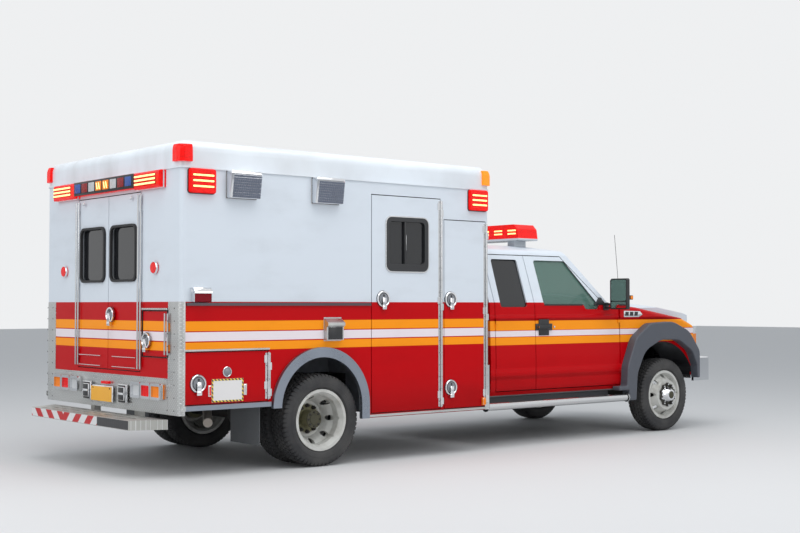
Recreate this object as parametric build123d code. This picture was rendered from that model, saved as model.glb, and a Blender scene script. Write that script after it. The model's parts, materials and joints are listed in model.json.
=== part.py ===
from build123d import *
import math
import os

# Type I ambulance: an extended-cab truck chassis with twin rear wheels and a square patient module.
# Sizes are millimetres. X runs forward from the rear axle, Y to the vehicle's left, Z up from the ground.
# The finished solids are moved along X at the end, so that the origin is the middle of the vehicle.

# Chassis
wheelbase = 4720
axle_height = 392
front_overhang = 970
rail_offset = 397
rail_width = 70
rail_height = 180
rail_top = 735
rail_web = 8

# Wheels
tyre_radius = 392
tyre_width = 226
bead_radius = 248
rim_width = 190
rim_flange = 261
front_track = 1888
rear_track = 1896
twin_spacing = 262
disc_offset = 131
hub_radius = 74
running_clearance = 0.3
kingpin_inset = 140

# Module
module_back = 1384
module_front = 1928
module_half = 1207
module_base = 560
module_skirt = 385
roof_height = 2668
roof_rise = 226
wall_top = roof_height - roof_rise
wall = 60
corner_radius = 36
roof_radius = 90
drip_rail = 10
floor_top = 822
floor_thickness = 55
door_thickness = 42
door_gap = 8
door_lip = 18
locker_sheet = 15
locker_depth = 400
arch_centre = -30
arch_radius = 418
arch_ring = 84
arch_crown = 926
arch_ring_depth = 34
split_height = 1391

# Cab, placed from the front axle
cab_back = wheelbase - 2586
cab_firewall = wheelbase - 650
door_front_cut = wheelbase - 700
door_split = wheelbase - 1966
door_rear_cut = wheelbase - 2517
screen_base = wheelbase - 859
cab_half = 1015
cab_crown = 3
crease_height = 838
cab_wall = 50
cab_base = 470
door_foot = 525
door_flange = 12
door_set_back = 26
cowl = 1385
cab_roof = cowl + 600
door_top = cab_roof - 121
belt = cowl - 16
screen_slope = 44.7
screen_bulge = 95
glass = 6
window_frame = 46
cab_floor = 785
cab_sheet = 40
seat_height = 365

# Front end
arch_clear = 575
flare_reach = 1112
hood_half = 872
hood_rear = wheelbase - 727
hood_front = wheelbase + 840
hood_sheet = 25
hood_base = cowl - 160
lamp_back = wheelbase + 542
lamp_base = 880
lamp_top = 1130
grille_half = 585
grille_back = wheelbase + 680
bumper_front = wheelbase + front_overhang
bumper_foot = 520
bumper_height = 260
frame_front = wheelbase + 640

# Rear step
step_depth = 280
step_top = 463
step_height = 78

rail_outer = rail_offset + rail_width / 2
rail_inner = rail_offset - rail_width / 2
rail_bottom = rail_top - rail_height
frame_back = 60 - module_back
centre_x = (wheelbase + front_overhang - module_back - step_depth) / 2


def block(x, y, z):
    size = Box(x[1] - x[0], y[1] - y[0], z[1] - z[0])
    return Pos(sum(x) / 2, sum(y) / 2, sum(z) / 2) * size


def loop(points, radius):
    if radius:
        return make_face(FilletPolyline(*points, radius=radius, close=True).edges())
    return make_face(Polyline(*points, close=True).edges())


# Prisms from an outline in the side view (x, z), the front view (y, z) or the plan (x, y).
def side_prism(points, y, radius=0, grow=0):
    face = loop([(px, y[0], pz) for px, pz in points], radius)
    if grow:
        face = offset(face, amount=grow, kind=Kind.INTERSECTION)
    return extrude(face, amount=y[1] - y[0], dir=(0, 1, 0))


def front_prism(points, x, radius=0):
    face = loop([(x[0], py, pz) for py, pz in points], radius)
    return extrude(face, amount=x[1] - x[0], dir=(1, 0, 0))


def plan_prism(points, z, radius=0):
    face = loop([(px, py, z[0]) for px, py in points], radius)
    return extrude(face, amount=z[1] - z[0], dir=(0, 0, 1))


def rectangle(a, b):
    return [(a[0], b[0]), (a[1], b[0]), (a[1], b[1]), (a[0], b[1])]


def cross_rod(x, y, z, radius):
    return Pos(x, sum(y) / 2, z) * Rot(90, 0, 0) * Cylinder(radius, y[1] - y[0])


def long_rod(x, y, z, radius):
    return Pos(sum(x) / 2, y, z) * Rot(0, 90, 0) * Cylinder(radius, x[1] - x[0])


def rod(start, end, radius):
    way = Vector(*end) - Vector(*start)
    along = Plane(origin=start, z_dir=way)
    return along * Cylinder(radius, way.length, align=(Align.CENTER, Align.CENTER, Align.MIN))


def post(x, y, z, radius):
    return Pos(x, y, sum(z) / 2) * Cylinder(radius, z[1] - z[0])


def flip(piece):
    return mirror(piece, about=Plane.XZ)


def both(piece):
    return [piece, flip(piece)]


def save(node, *pieces):
    solids = [solid for piece in pieces for solid in piece.solids()]
    shape = Compound(solids).moved(Location((-centre_x, 0, 0)))
    export_step(shape, f"parts/{node}.step")


# A body turned about the wheel axis, from (distance outboard, radius) points.
def turned(points, x, y, side):
    profile = [(side * out, radius) for out, radius in points]
    face = make_face(Polyline(*profile, close=True).edges())
    body = revolve(face, axis=Axis.X)
    return Pos(x, y, axle_height) * Rot(0, 0, 90) * body


# Wheels
twin_inner_edge = (rear_track - twin_spacing) / 2 - tyre_width / 2
rim_sheet = 12
rim_half = rim_width / 2
rim_well = 26
hub_face = disc_offset - rim_sheet
tyre_outline = (
    # outboard, radius
    (rim_sheet - rim_half, bead_radius),
    (rim_sheet - rim_half, rim_flange + 1),
    (-0.5 * tyre_width, bead_radius + 52),
    (-0.48 * tyre_width, tyre_radius - 44),
    (-0.40 * tyre_width, tyre_radius - 8),
    (-0.34 * tyre_width, tyre_radius),
    (0.34 * tyre_width, tyre_radius),
    (0.40 * tyre_width, tyre_radius - 8),
    (0.48 * tyre_width, tyre_radius - 44),
    (0.5 * tyre_width, bead_radius + 52),
    (rim_half - rim_sheet, rim_flange + 1),
    (rim_half - rim_sheet, bead_radius),
)


# The wheel's disc stands disc_offset out from the middle of its rim: dish is 1 outboard and -1 inboard.
def disc_wheel(x, y, side, dish):
    barrel = (
        (-rim_half, rim_flange),
        (-rim_half, bead_radius - rim_sheet),
        (-0.55 * rim_half, bead_radius - rim_sheet - rim_well),
        (0.55 * rim_half, bead_radius - rim_sheet - rim_well),
        (rim_half, bead_radius - rim_sheet),
        (rim_half, rim_flange),
        (rim_half - rim_sheet, rim_flange),
        (rim_half - rim_sheet, bead_radius),
        (0.55 * rim_half, bead_radius - rim_well),
        (-0.55 * rim_half, bead_radius - rim_well),
        (-rim_half + rim_sheet, bead_radius),
        (-rim_half + rim_sheet, rim_flange),
    )
    bowl = (
        (dish * 20, bead_radius - rim_well),
        (dish * 20, bead_radius - rim_well - rim_sheet),
        (dish * 60, bead_radius - rim_well - 40),
        (dish * hub_face, 152),
        (dish * hub_face, hub_radius),
        (dish * disc_offset, hub_radius),
        (dish * disc_offset, 160),
        (dish * 75, bead_radius - rim_well - 26),
        (dish * 38, bead_radius - rim_well),
    )
    wheel = turned(barrel, x, y, side) + turned(bowl, x, y, side)
    holes = [
        cross_rod(x + 192 * math.cos(turn), (y - 200, y + 200), axle_height + 192 * math.sin(turn), 24)
        for turn in (2 * math.pi * step / 8 for step in range(8))
    ]
    return wheel - holes


def front_wheel(side):
    x = wheelbase
    y = side * front_track / 2
    hub = (
        (disc_offset - 70, 52 + running_clearance),
        (disc_offset - 70, 118),
        (hub_face - running_clearance, 118),
        (hub_face - running_clearance, hub_radius - running_clearance),
        (disc_offset + 22, hub_radius - running_clearance),
        (disc_offset + 60, 56),
        (disc_offset + 60, 0),
        (disc_offset + 12, 0),
        (disc_offset + 12, 52 + running_clearance),
    )
    return disc_wheel(x, y, side, 1), turned(hub, x, y, side), turned(tyre_outline, x, y, side)


def rear_wheels(side):
    outer = side * (rear_track + twin_spacing) / 2
    inner = side * (rear_track - twin_spacing) / 2
    seat = side * rear_track / 2
    hub = (
        (-70, 82 + running_clearance),
        (-70, 120),
        (-rim_sheet - running_clearance, 120),
        (-rim_sheet - running_clearance, hub_radius - running_clearance),
        (118, hub_radius - running_clearance),
        (118, 0),
        (104, 0),
        (104, 58 + running_clearance),
        (-30, 58 + running_clearance),
        (-30, 82 + running_clearance),
    )
    wheels = [disc_wheel(0, outer, side, -1), disc_wheel(0, inner, side, 1), turned(hub, 0, seat, side)]
    tyres = [turned(tyre_outline, 0, y, side) for y in (outer, inner)]
    return wheels, tyres


# Steering knuckle: an upright between the axle's two ears, with the spindle that carries the hub.
kingpin = front_track / 2 - kingpin_inset
upright_half = 95
upright_radius = 36
ear = 24


def knuckle(side):
    y = side * kingpin
    upright = post(wheelbase, y, (axle_height - upright_half, axle_height + upright_half), upright_radius)
    spindle_end = side * (front_track / 2 + disc_offset + 10)
    spindle = cross_rod(wheelbase, sorted((y, spindle_end)), axle_height, 52)
    flange = cross_rod(wheelbase, sorted((y + side * 60, y + side * 80)), axle_height, 110)
    arm_y = sorted((y - side * 10, y + side * 20))
    arm = block((wheelbase - 170, wheelbase), arm_y, (axle_height - 70, axle_height - 40))
    return upright + spindle + flange + arm


gearbox_back = wheelbase - 1070
shaft_end = rail_top - 235
spring_half = 760
spring_pack = (
    # along, underside, top
    (-spring_half, rail_top - 120, rail_top - 90),
    (-400, axle_height + 130, axle_height + 170),
    (0, axle_height + 88, axle_height + 150),
    (400, axle_height + 130, axle_height + 170),
    (spring_half, rail_top - 120, rail_top - 90),
)


def axles():
    pieces = []
    beam_end = kingpin - 90
    beam = cross_rod(wheelbase, (-beam_end, beam_end), axle_height, 48)
    for side in (-1, 1):
        plate_y = sorted((side * beam_end, side * (beam_end + 26)))
        ear_y = sorted((side * beam_end, side * (kingpin + upright_radius)))
        ear_x = (wheelbase - 40, wheelbase + 40)
        reach = upright_half + running_clearance
        beam += block(ear_x, plate_y, (axle_height - reach - ear, axle_height + reach + ear))
        beam += block(ear_x, ear_y, (axle_height + reach, axle_height + reach + ear))
        beam += block(ear_x, ear_y, (axle_height - reach - ear, axle_height - reach))
        coil_top = rail_bottom + 95
        coil_y = rail_outer + 75
        beam += post(wheelbase, side * coil_y, (axle_height + 30, coil_top), 62)
        tower_y = sorted((side * rail_outer, side * (coil_y + 75)))
        beam += block((wheelbase - 90, wheelbase + 90), tower_y, (coil_top, coil_top + 20))
    pieces.append(beam)
    tube_end = rear_track / 2 + 98
    housing = cross_rod(0, (-tube_end, tube_end), axle_height, 58)
    housing += Pos(20, 0, axle_height) * Sphere(185)
    housing += cross_rod(0, (-rear_track / 2 + 36, rear_track / 2 - 36), axle_height, 80)
    yoke = gearbox_back - 60
    housing += rod((150, 0, axle_height + 20), (yoke + 20, 0, shaft_end), 45)
    housing += long_rod((yoke, gearbox_back - running_clearance), 0, shaft_end, 62)
    for side in (-1, 1):
        spring_y = sorted((side * 520, side * 596))
        under = [(along, low) for along, low, high in spring_pack]
        over = [(along, high) for along, low, high in reversed(spring_pack)]
        housing += side_prism(under + over, spring_y)
        housing += block((-80, 80), spring_y, (axle_height + 40, axle_height + 120))
        hanger_y = sorted((side * rail_outer, side * 596))
        for end in (-spring_half, spring_half):
            housing += block((end - 30, end + 30), hanger_y, (rail_top - 140, rail_top - 70))
    pieces.append(housing)
    return pieces


def frame_rails():
    web_y = rail_outer - rail_web
    rail = block((frame_back, frame_front), (rail_inner, rail_outer), (rail_bottom, rail_top))
    channel = shrink((rail_bottom, rail_top), rail_web)
    rail -= block((frame_back, frame_front), (rail_inner, web_y), channel)
    module_seats = [(x, floor_top - floor_thickness) for x in (-1200, -700, 560, 1100, 1700)]
    cab_seats_x = (cab_back + 166, cab_back + 1166, cab_firewall - 120)
    for x, seat_top in module_seats + [(x, cab_floor - cab_sheet) for x in cab_seats_x]:
        rail += block((x - 50, x + 50), (rail_inner, rail_outer), (rail_top, seat_top))
    rails = rail + flip(rail)
    cross_x = (frame_back + 40, -520, 620, 1500, 2500, gearbox_back - 150, wheelbase + 360, frame_front - 60)
    for x in cross_x:
        rails += block((x - 35, x + 35), (-web_y, web_y), (rail_bottom + rail_web, rail_bottom + 90))
    return rails


def engine():
    sump = rail_bottom - 80
    bell = gearbox_back + 480
    engine_block = block((bell, bell + 890), (-330, 330), (sump, 1150))
    gearbox = block((gearbox_back, bell), (-170, 170), (shaft_end - 60, rail_top - 15))
    web_y = rail_outer - rail_web
    mounts = block((bell + 370, bell + 510), (-web_y, web_y), (rail_top - 120, rail_top - 60))
    return engine_block + gearbox + mounts


def fuel_tank():
    x = (cab_back + 116, cab_back + 1216)
    tank = block(x, (rail_outer + 10, 840), (435, rail_top - 45))
    tank = fillet(tank.edges().filter_by(Axis.X), 40)
    for along in shrink(x, 200):
        tank += block((along - 25, along + 25), (rail_outer, rail_outer + 60), (600, rail_top - 45))
    return tank


def exhaust():
    pipe_y = -(rail_outer + 44)
    pipe_z = rail_bottom - 35
    start = (wheelbase - 720, pipe_y, pipe_z)
    path = FilletPolyline(start, (-700, pipe_y, pipe_z), (-980, pipe_y - 480, pipe_z - 110), radius=160)
    pipe = sweep(Plane(origin=start, z_dir=(-1, 0, 0)) * Circle(38), path=path)
    muffler = long_rod((1250, 2100), pipe_y - 70, pipe_z, 105)
    muffler = fillet(muffler.edges(), 20)
    reach = (pipe_y - 8, -rail_outer)
    hangers = [block((x - 15, x + 15), reach, (pipe_z, pipe_z + 120)) for x in (-600, 900, 2600)]
    hangers.append(block((start[0] - 15, start[0] + 15), reach, (pipe_z, pipe_z + 90)))
    return pipe + muffler + hangers


def mud_flaps():
    top = rear_locker_bottom + door_lip - locker_sheet
    back = arch_centre - arch_radius - arch_ring - 74
    flap = block((back, back + 6), (twin_inner_edge, module_half - wall - 5), (215, top))
    return both(flap)


def rear_step():
    back = -module_back - step_depth
    half = 1022
    chamfer = 129
    top = step_top
    base = top - step_height
    outline = [(back, chamfer - half), (back, half - chamfer), (-module_back, half), (-module_back, -half)]
    tread = plan_prism(outline, (base, top))
    edge = 12
    well = [(back + edge, chamfer - half + edge), (back + edge, half - chamfer - edge),
            (-module_back - edge, half - edge - 2), (-module_back - edge, edge + 2 - half)]
    tread -= plan_prism(well, (base, top - edge))
    for x in (back + 90, back + 180):
        tread += block((x - 4, x + 4), (chamfer - half + edge, half - chamfer - edge), (base, top - edge))
    for side in (-1, 1):
        y = sorted((side * rail_inner, side * rail_outer))
        tread += block((-module_back - 14, frame_back + 60), y, (top - 68, top - edge))
        tread += block((frame_back, frame_back + 60), y, (top - 68, rail_bottom))
    # grip slots across the tread, in two rows
    slot_length = 150
    slot_pitch = 200
    for x in (back + 45, back + 135, back + 225):
        slots = [Pos(x, y, top - edge / 2) * Box(26, slot_length, 2 * edge)
                 for y in (slot_pitch * (step - 3.5) for step in range(8))]
        tread -= slots
    return tread


# Module doors: the entry's and the lockers', from the photo and, on the left, from the type.
entry_top = wall_top - 109
locker_top = wall_top - 295
locker_foot = module_skirt + 32
front_locker_x = (module_front - 567, module_front - 44)
entry_door = ("entry_door", -1, (514, 1318), (locker_foot + 5, entry_top), 1318)
side_doors = (
    # node, side, x limits, z limits, hinge x
    entry_door,
    ("front_locker_door_right", -1, front_locker_x, (locker_foot, locker_top), front_locker_x[1]),
    ("rear_locker_door_right", -1, (-1350, -566), (581, 996), -566),
    ("front_locker_door_left", 1, front_locker_x, (locker_foot, locker_top), front_locker_x[1]),
    ("middle_locker_door_left", 1, (545, 1300), (locker_foot, 1330), 1300),
    ("rear_locker_door_left", 1, (-1350, -566), (581, 1330), -566),
)
rear_door_half = 566
rear_door_top = wall_top - 152
rear_doors = (
    # node, y limits, z limits, hinge y
    ("rear_door_right", (-rear_door_half, 0), (floor_top, rear_door_top), -rear_door_half),
    ("rear_door_left", (0, rear_door_half), (floor_top, rear_door_top), rear_door_half),
    ("corner_locker_door", (-1014, -608), (950, 1319), -1014),
)
rear_locker_bottom = side_doors[2][3][0]
kick_plate = (501, 785)
latches = {
    # node: (along the face, height) of each paddle handle
    "entry_door": ((643, 1419),),
    "front_locker_door_right": ((1440, 1416), (1440, 611)),
    "rear_locker_door_right": ((-1224, 748),),
    "front_locker_door_left": ((1440, 1416), (1440, 611)),
    "middle_locker_door_left": ((625, 1110),),
    "rear_locker_door_left": ((-1224, 990),),
    "rear_door_right": ((-75, 1284),),
    "rear_door_left": (),
    "corner_locker_door": ((-700, 1079),),
}
entry_window = ((678, 1168), (wall_top - 778, wall_top - 296))
rear_window_y = (55, 504)
rear_window_z = (wall_top - 877, wall_top - 411)
window_radius = 60
hinge_radius = 7
hinge_stand = 9
hinge_leaf = 36
hinge_sheet = 4
hinge_length = 60


def shrink(limits, amount):
    return (limits[0] + amount, limits[1] - amount)


def outward(side, depth):
    return sorted((side * module_half, side * (module_half - depth)))


# Hinge halves at each height: a knuckle with its leaf on the door, stacked on one that is fixed to the wall.
def knuckles(axis_at, leaf_way, heights, upper):
    x, y = axis_at
    leaf_x, leaf_y, out_x, out_y = leaf_way
    parts = []
    for z in heights:
        low = z + running_clearance / 2 if upper else z - hinge_length
        high = z + hinge_length if upper else z - running_clearance / 2
        parts.append(post(x, y, (low, high), hinge_radius))
        tip = (x + leaf_x * hinge_leaf, y + leaf_y * hinge_leaf)
        near = hinge_stand - hinge_sheet
        corner_a = (x - out_x * near, y - out_y * near)
        corner_b = (tip[0] - out_x * hinge_stand, tip[1] - out_y * hinge_stand)
        span_x = sorted((corner_a[0], corner_b[0]))
        span_y = sorted((corner_a[1], corner_b[1]))
        parts.append(block(span_x, span_y, (low, high)))
    return parts


def hinge_heights(z):
    span = z[1] - z[0]
    count = 3 if span > 1000 else 2
    margin = hinge_length + 40
    return [z[0] + margin + step * (span - 2 * margin) / (count - 1) for step in range(count)]


def side_window(y):
    x, z = entry_window
    return side_prism(rectangle(x, z), y, window_radius)


def paddle(face, side, along, height):
    # a round dish that stands a little out of the face, with its lever
    if face == "side":
        dish = Pos(along, side * (module_half + 5), height) * Rot(90, 0, 0) * Cylinder(54, 14)
        lever = block((along - 20, along + 20), outward(side, -26), (height - 84, height))
    else:
        dish = Pos(-module_back - 5, along, height) * Rot(0, 90, 0) * Cylinder(54, 14)
        lever = block((-module_back - 26, -module_back), (along - 20, along + 20), (height - 84, height))
    return dish + lever


def side_door(node, side, x, z, hinge_x):
    leaf = block(shrink(x, door_gap / 2), outward(side, door_thickness), shrink(z, door_gap / 2))
    if node == "entry_door":
        leaf -= side_window(outward(side, wall))
    turn = (hinge_x, side * (module_half + hinge_stand))
    leaf += knuckles(turn, (-1, 0, 0, side), hinge_heights(z), True)
    for along, height in latches[node]:
        leaf += paddle("side", side, along, height)
    if x == front_locker_x:
        marker = block((x[1] - 52, x[1] - 22), outward(side, -22), (430, 500))
        leaf += marker
    return leaf


def rear_window(y, x):
    return front_prism(rectangle(y, rear_window_z), x, window_radius)


def rear_window_limits(node):
    return rear_window_y if node == "rear_door_left" else (-rear_window_y[1], -rear_window_y[0])


def rear_door(node, y, z, hinge_y):
    gap = door_gap / 2
    leaf = block((-module_back, door_thickness - module_back), shrink(y, gap), shrink(z, gap))
    if node != "corner_locker_door":
        leaf -= rear_window(rear_window_limits(node), (-module_back, -module_back + wall))
    way = 1 if hinge_y < sum(y) / 2 else -1
    turn = (-module_back - hinge_stand, hinge_y)
    leaf += knuckles(turn, (0, way, -1, 0), hinge_heights(z), True)
    for along, height in latches[node]:
        leaf += paddle("rear", 0, along, height)
    return leaf


def wheel_arch(grow, y):
    radius = arch_radius + grow
    centre_z = arch_crown - arch_radius
    arch = cross_rod(arch_centre, y, centre_z, radius)
    foot = block((arch_centre - radius, arch_centre + radius), y, (0, centre_z))
    return arch + foot


def locker_box(side, x, z, depth):
    y = sorted((side * (module_half - wall), side * (module_half - wall - depth)))
    reach = (max(x[0] - locker_sheet, wall - module_back), min(x[1] + locker_sheet, module_front - wall))
    outer = block(reach, y, shrink(z, -locker_sheet))
    room_y = sorted((side * (module_half - wall), side * (module_half - wall - depth + locker_sheet)))
    room = block(x, room_y, z)
    return outer, room


def module_shell(grow=0):
    half_x = (module_front + module_back) / 2 + grow
    middle = (module_front - module_back) / 2
    face = RectangleRounded(2 * half_x, 2 * (module_half + grow), corner_radius + grow)
    return Pos(middle, 0, module_skirt) * extrude(face, amount=wall_top - module_skirt)


def side_wall(side):
    y = outward(side, wall)
    shell = module_shell() & block((-module_back, module_front), y, (module_skirt, wall_top))
    shell -= block((-module_back, arch_centre), y, (0, module_base))
    shell -= wheel_arch(arch_ring / 2, y)
    for node, door_side, x, z, hinge_x in side_doors:
        if door_side != side:
            continue
        gap = door_gap / 2
        recess = outward(side, door_thickness + 5)
        shell -= block(shrink(x, -gap), recess, shrink(z, -gap))
        shell -= block(shrink(x, door_lip), y, shrink(z, door_lip))
        turn = (hinge_x, side * (module_half + hinge_stand))
        shell += knuckles(turn, (1, 0, 0, side), hinge_heights(z), False)
        if node != "entry_door":
            box, room = locker_box(side, shrink(x, door_lip), shrink(z, door_lip), locker_depth)
            shell += box - room
    return shell


def rear_wall():
    x = (-module_back, -module_back + wall)
    side = module_half - wall
    panel = block(x, (-side, side), (kick_plate[0], wall_top))
    gap = -door_gap / 2
    recess = (x[0], x[0] + door_thickness + 5)
    doorway = (-rear_door_half, rear_door_half)
    panel -= block(recess, shrink(doorway, gap), shrink((floor_top, rear_door_top), gap))
    panel -= block(x, shrink(doorway, door_lip), (floor_top, rear_door_top - door_lip))
    node, y, z, hinge_y = rear_doors[2]
    panel -= block(recess, shrink(y, gap), shrink(z, gap))
    panel -= block(x, shrink(y, door_lip), shrink(z, door_lip))
    for node, y, z, hinge_y in rear_doors:
        way = -1 if hinge_y < sum(y) / 2 else 1
        turn = (-module_back - hinge_stand, hinge_y)
        panel += knuckles(turn, (0, way, -1, 0), hinge_heights(z), False)
    return panel


def front_wall():
    side = module_half - wall
    return block((module_front - wall, module_front), (-side, side), (floor_top - floor_thickness, wall_top))


# The roof's outer form, with its rolled edge, moved outward by grow.
def roof_form(grow):
    long = module_front + module_back + 2 * grow
    wide = 2 * (module_half + grow)
    form = extrude(RectangleRounded(long, wide, corner_radius + grow), amount=roof_rise + grow)
    form = fillet(form.faces().sort_by(Axis.Z)[-1].edges(), roof_radius + grow)
    return Pos((module_front - module_back) / 2, 0, wall_top) * form


def module_roof():
    room = block(shrink((-module_back, module_front), wall), shrink((-module_half, module_half), wall),
                 (wall_top, roof_height - wall))
    rail = roof_form(drip_rail) & block((-2000, 3000), (-2000, 2000), (wall_top, wall_top + 14))
    return roof_form(0) + rail - room


def module_floor():
    x = (-module_back + wall, module_front - wall)
    side = module_half - wall
    z = (floor_top - floor_thickness, floor_top)
    floor = block(x, (-side, side), z)
    for node, door_side, limits, height, hinge_x in side_doors:
        if node == "entry_door":
            continue
        box, room = locker_box(door_side, shrink(limits, door_lip), shrink(height, door_lip), locker_depth)
        floor -= box
    sheet = locker_sheet
    house_half = arch_radius + arch_ring / 2 + sheet
    house_x = (arch_centre - house_half, arch_centre + house_half)
    house_top = arch_crown + arch_ring / 2 + sheet
    for way in (-1, 1):
        house_y = sorted((way * side, way * (twin_inner_edge - 25)))
        inner_y = sorted((way * side, way * (twin_inner_edge - 25 + sheet)))
        floor -= block(house_x, house_y, z)
        floor += block(house_x, house_y, (z[0], house_top))
        floor -= block(shrink(house_x, sheet), inner_y, (z[0], house_top - sheet))
    step_x = shrink(entry_door[2], door_lip)
    step_y = (-side, -side + 300)
    step_z = entry_door[3][0] + door_lip - sheet
    floor -= block(step_x, step_y, z)
    well = block(shrink(step_x, -sheet), (step_y[0], step_y[1] + sheet), (step_z, floor_top))
    well -= block(step_x, step_y, (step_z + sheet, floor_top))
    return floor + well


# Cab: one cross-section run along X, bounded by the roof line and the bowed windscreen.
cab_side = (
    # half width, height, radius of the corner
    (cab_half - 30, cab_base, 30),
    (cab_half, cab_base + 70, 120),
    (cab_half + cab_crown, crease_height, 400),
    (cab_half - 14, belt, 60),
    (812, cab_roof - 70, 90),
    (400, cab_roof, 900),
)
roof_line = (
    # along, height, radius
    (cab_back - 100, cab_base - 50, 0),
    (cab_back - 100, cab_roof - 35, 0),
    (cab_back + 380, cab_roof + 2, 1500),
    (cab_back + 900, cab_roof + 2, 1500),
    (cab_back + 1560, cab_roof - 105, 0),
    (cab_firewall + 100, cab_roof - 105, 0),
    (cab_firewall + 100, cab_base - 50, 0),
)
cab_room = cab_half + 185
slope = math.radians(screen_slope)
up_screen = (-math.cos(slope), 0, math.sin(slope))
off_screen = (math.sin(slope), 0, math.cos(slope))
screen_origin = (screen_base, 0, cowl)
screen_chord = 960
screen_corners = (
    # half width, distance up the slope
    (870, 70),
    (745, 640),
)
front_door_line = [
    (door_split, door_foot),
    (door_front_cut, door_foot),
    (door_front_cut, cowl),
    (screen_base - 85, cowl),
    (screen_base - 85 - (door_top - cowl) / math.tan(slope), door_top),
    (door_split, door_top),
]
rear_door_line = rectangle((door_rear_cut, door_split), (door_foot, door_top))
window_top = door_top - window_frame
window_drop = 48
pillar_foot = door_front_cut - 285
front_window_line = [
    (door_split + 131, belt),
    (pillar_foot - 265, belt),
    (pillar_foot - 230, belt - window_drop),
    (pillar_foot, belt - window_drop),
    (pillar_foot - (window_top - belt + window_drop) / math.tan(slope) * 0.79, window_top),
    (door_split + 131, window_top),
]
rear_window_line = [
    (door_rear_cut + 77, belt - 24),
    (door_split - 104, belt - 24),
    (door_split - 104, window_top),
    (door_rear_cut + 89, window_top),
]
window_corner = 28
door_side = (-cab_half - 100, -300)
cab_hinge_heights = (700, 1180)
cab_hinge_length = 45
handle_height = (1128, 1162)


# The whole cab, moved inward by inset. The cowl ahead of the windscreen is lowered by cowl_sheet.
def cab_solid(inset, cowl_sheet=0):
    right = [(-width, height) for width, height, radius in cab_side]
    left = [(width, height) for width, height, radius in reversed(cab_side)]
    radii = [radius for width, height, radius in cab_side]
    x = (cab_back + inset, cab_firewall - inset)
    face = make_face(FilletPolyline(*[(x[0], y, z) for y, z in right + left], radius=radii + radii[::-1],
                                    close=True).edges())
    if inset:
        face = offset(face, amount=-inset)
    body = extrude(face, amount=x[1] - x[0], dir=(1, 0, 0))
    roof = [(along, -cab_room, height - (inset if height > cab_base else 0))
            for along, height, radius in roof_line]
    radii = [radius for along, height, radius in roof_line]
    roof_face = make_face(FilletPolyline(*roof, radius=radii, close=True).edges())
    body &= extrude(roof_face, amount=2 * cab_room, dir=(0, 1, 0))
    return body - screen_space(inset, cowl - cowl_sheet)


# All that lies above the cowl and in front of the windscreen's outer face, moved inward by inset.
def screen_space(inset, cowl_top):
    bow = Plane(origin=screen_origin, x_dir=(0, 1, 0), z_dir=up_screen)
    radius = (screen_chord ** 2 + screen_bulge ** 2) / (2 * screen_bulge)
    wide = cab_room
    edge = radius - screen_bulge - math.sqrt(radius ** 2 - wide ** 2) + inset
    arc = ThreePointArc((-wide, edge), (0, inset - screen_bulge), (wide, edge))
    rest = Polyline((wide, edge), (wide, -1500), (-wide, -1500), (-wide, edge))
    face = bow * make_face(arc.edges() + rest.edges())
    space = extrude(face, amount=1500, both=True, dir=up_screen)
    return space & block((cab_back, cab_firewall + 500), (-1300, 1300), (cowl_top, cab_roof + 500))


def screen_opening():
    plane = Plane(origin=screen_origin, x_dir=(0, 1, 0), z_dir=off_screen)
    (low, low_up), (high, high_up) = screen_corners
    corners = [(-low, low_up), (low, low_up), (high, high_up), (-high, high_up)]
    line = FilletPolyline(*corners, radius=60, close=True)
    return extrude(plane * make_face(line.edges()), amount=300, both=True)


def cab_shell():
    outer = cab_solid(0)
    room = cab_solid(cab_wall, cab_wall)
    shell = outer - (room & block((cab_back, cab_firewall), (-cab_half, cab_half), (cab_floor, cab_roof)))
    tunnel = cab_half - 115
    shell -= block((cab_back, cab_firewall), (-tunnel, tunnel), (cab_base, cab_floor - cab_sheet))
    lining = cab_solid(cab_wall + 5)
    for line in (front_door_line, rear_door_line):
        shell -= both(side_prism(line, door_side, 0, door_gap / 2) - lining)
    shell -= screen_opening()
    across = (-cab_room, cab_room)
    front = block((door_front_cut + door_gap / 2, cab_firewall), across, (cab_base, cab_roof))
    shell -= (outer - cab_solid(fender_seat)) & front
    cowl_x = hood_rear - 8
    shell -= block((cowl_x, cab_firewall), across, (hood_base - 10, cab_roof))
    cowl_y = (85 - cab_half, cab_half - 85)
    shell += block((cowl_x - cab_wall, cowl_x), cowl_y, (hood_base - 60, cowl - 10))
    shell += block((cowl_x - cab_wall, cab_firewall), cowl_y, (hood_base - 60, hood_base - 10))
    shell += hood_knuckles(-1, cowl_x - 4)
    for side in (-1, 1):
        turn_y = side * (cab_half + cab_crown)
        for z in cab_hinge_heights:
            for x, way in ((door_front_cut, 1), (door_rear_cut, -1)):
                span = (z - cab_hinge_length, z - running_clearance / 2)
                tab = block(sorted((x, x + way * 6)), sorted((turn_y - side * 3, turn_y)), span)
                foot_y = sorted((turn_y - side * 60, turn_y))
                foot = block(sorted((x + way * 3, x + way * 6)), foot_y, span)
                shell += post(x, turn_y, span, 3) + tab + foot
    return shell


def windscreen():
    layer = cab_solid(12) - cab_solid(12 + glass)
    return layer & screen_opening()


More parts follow.
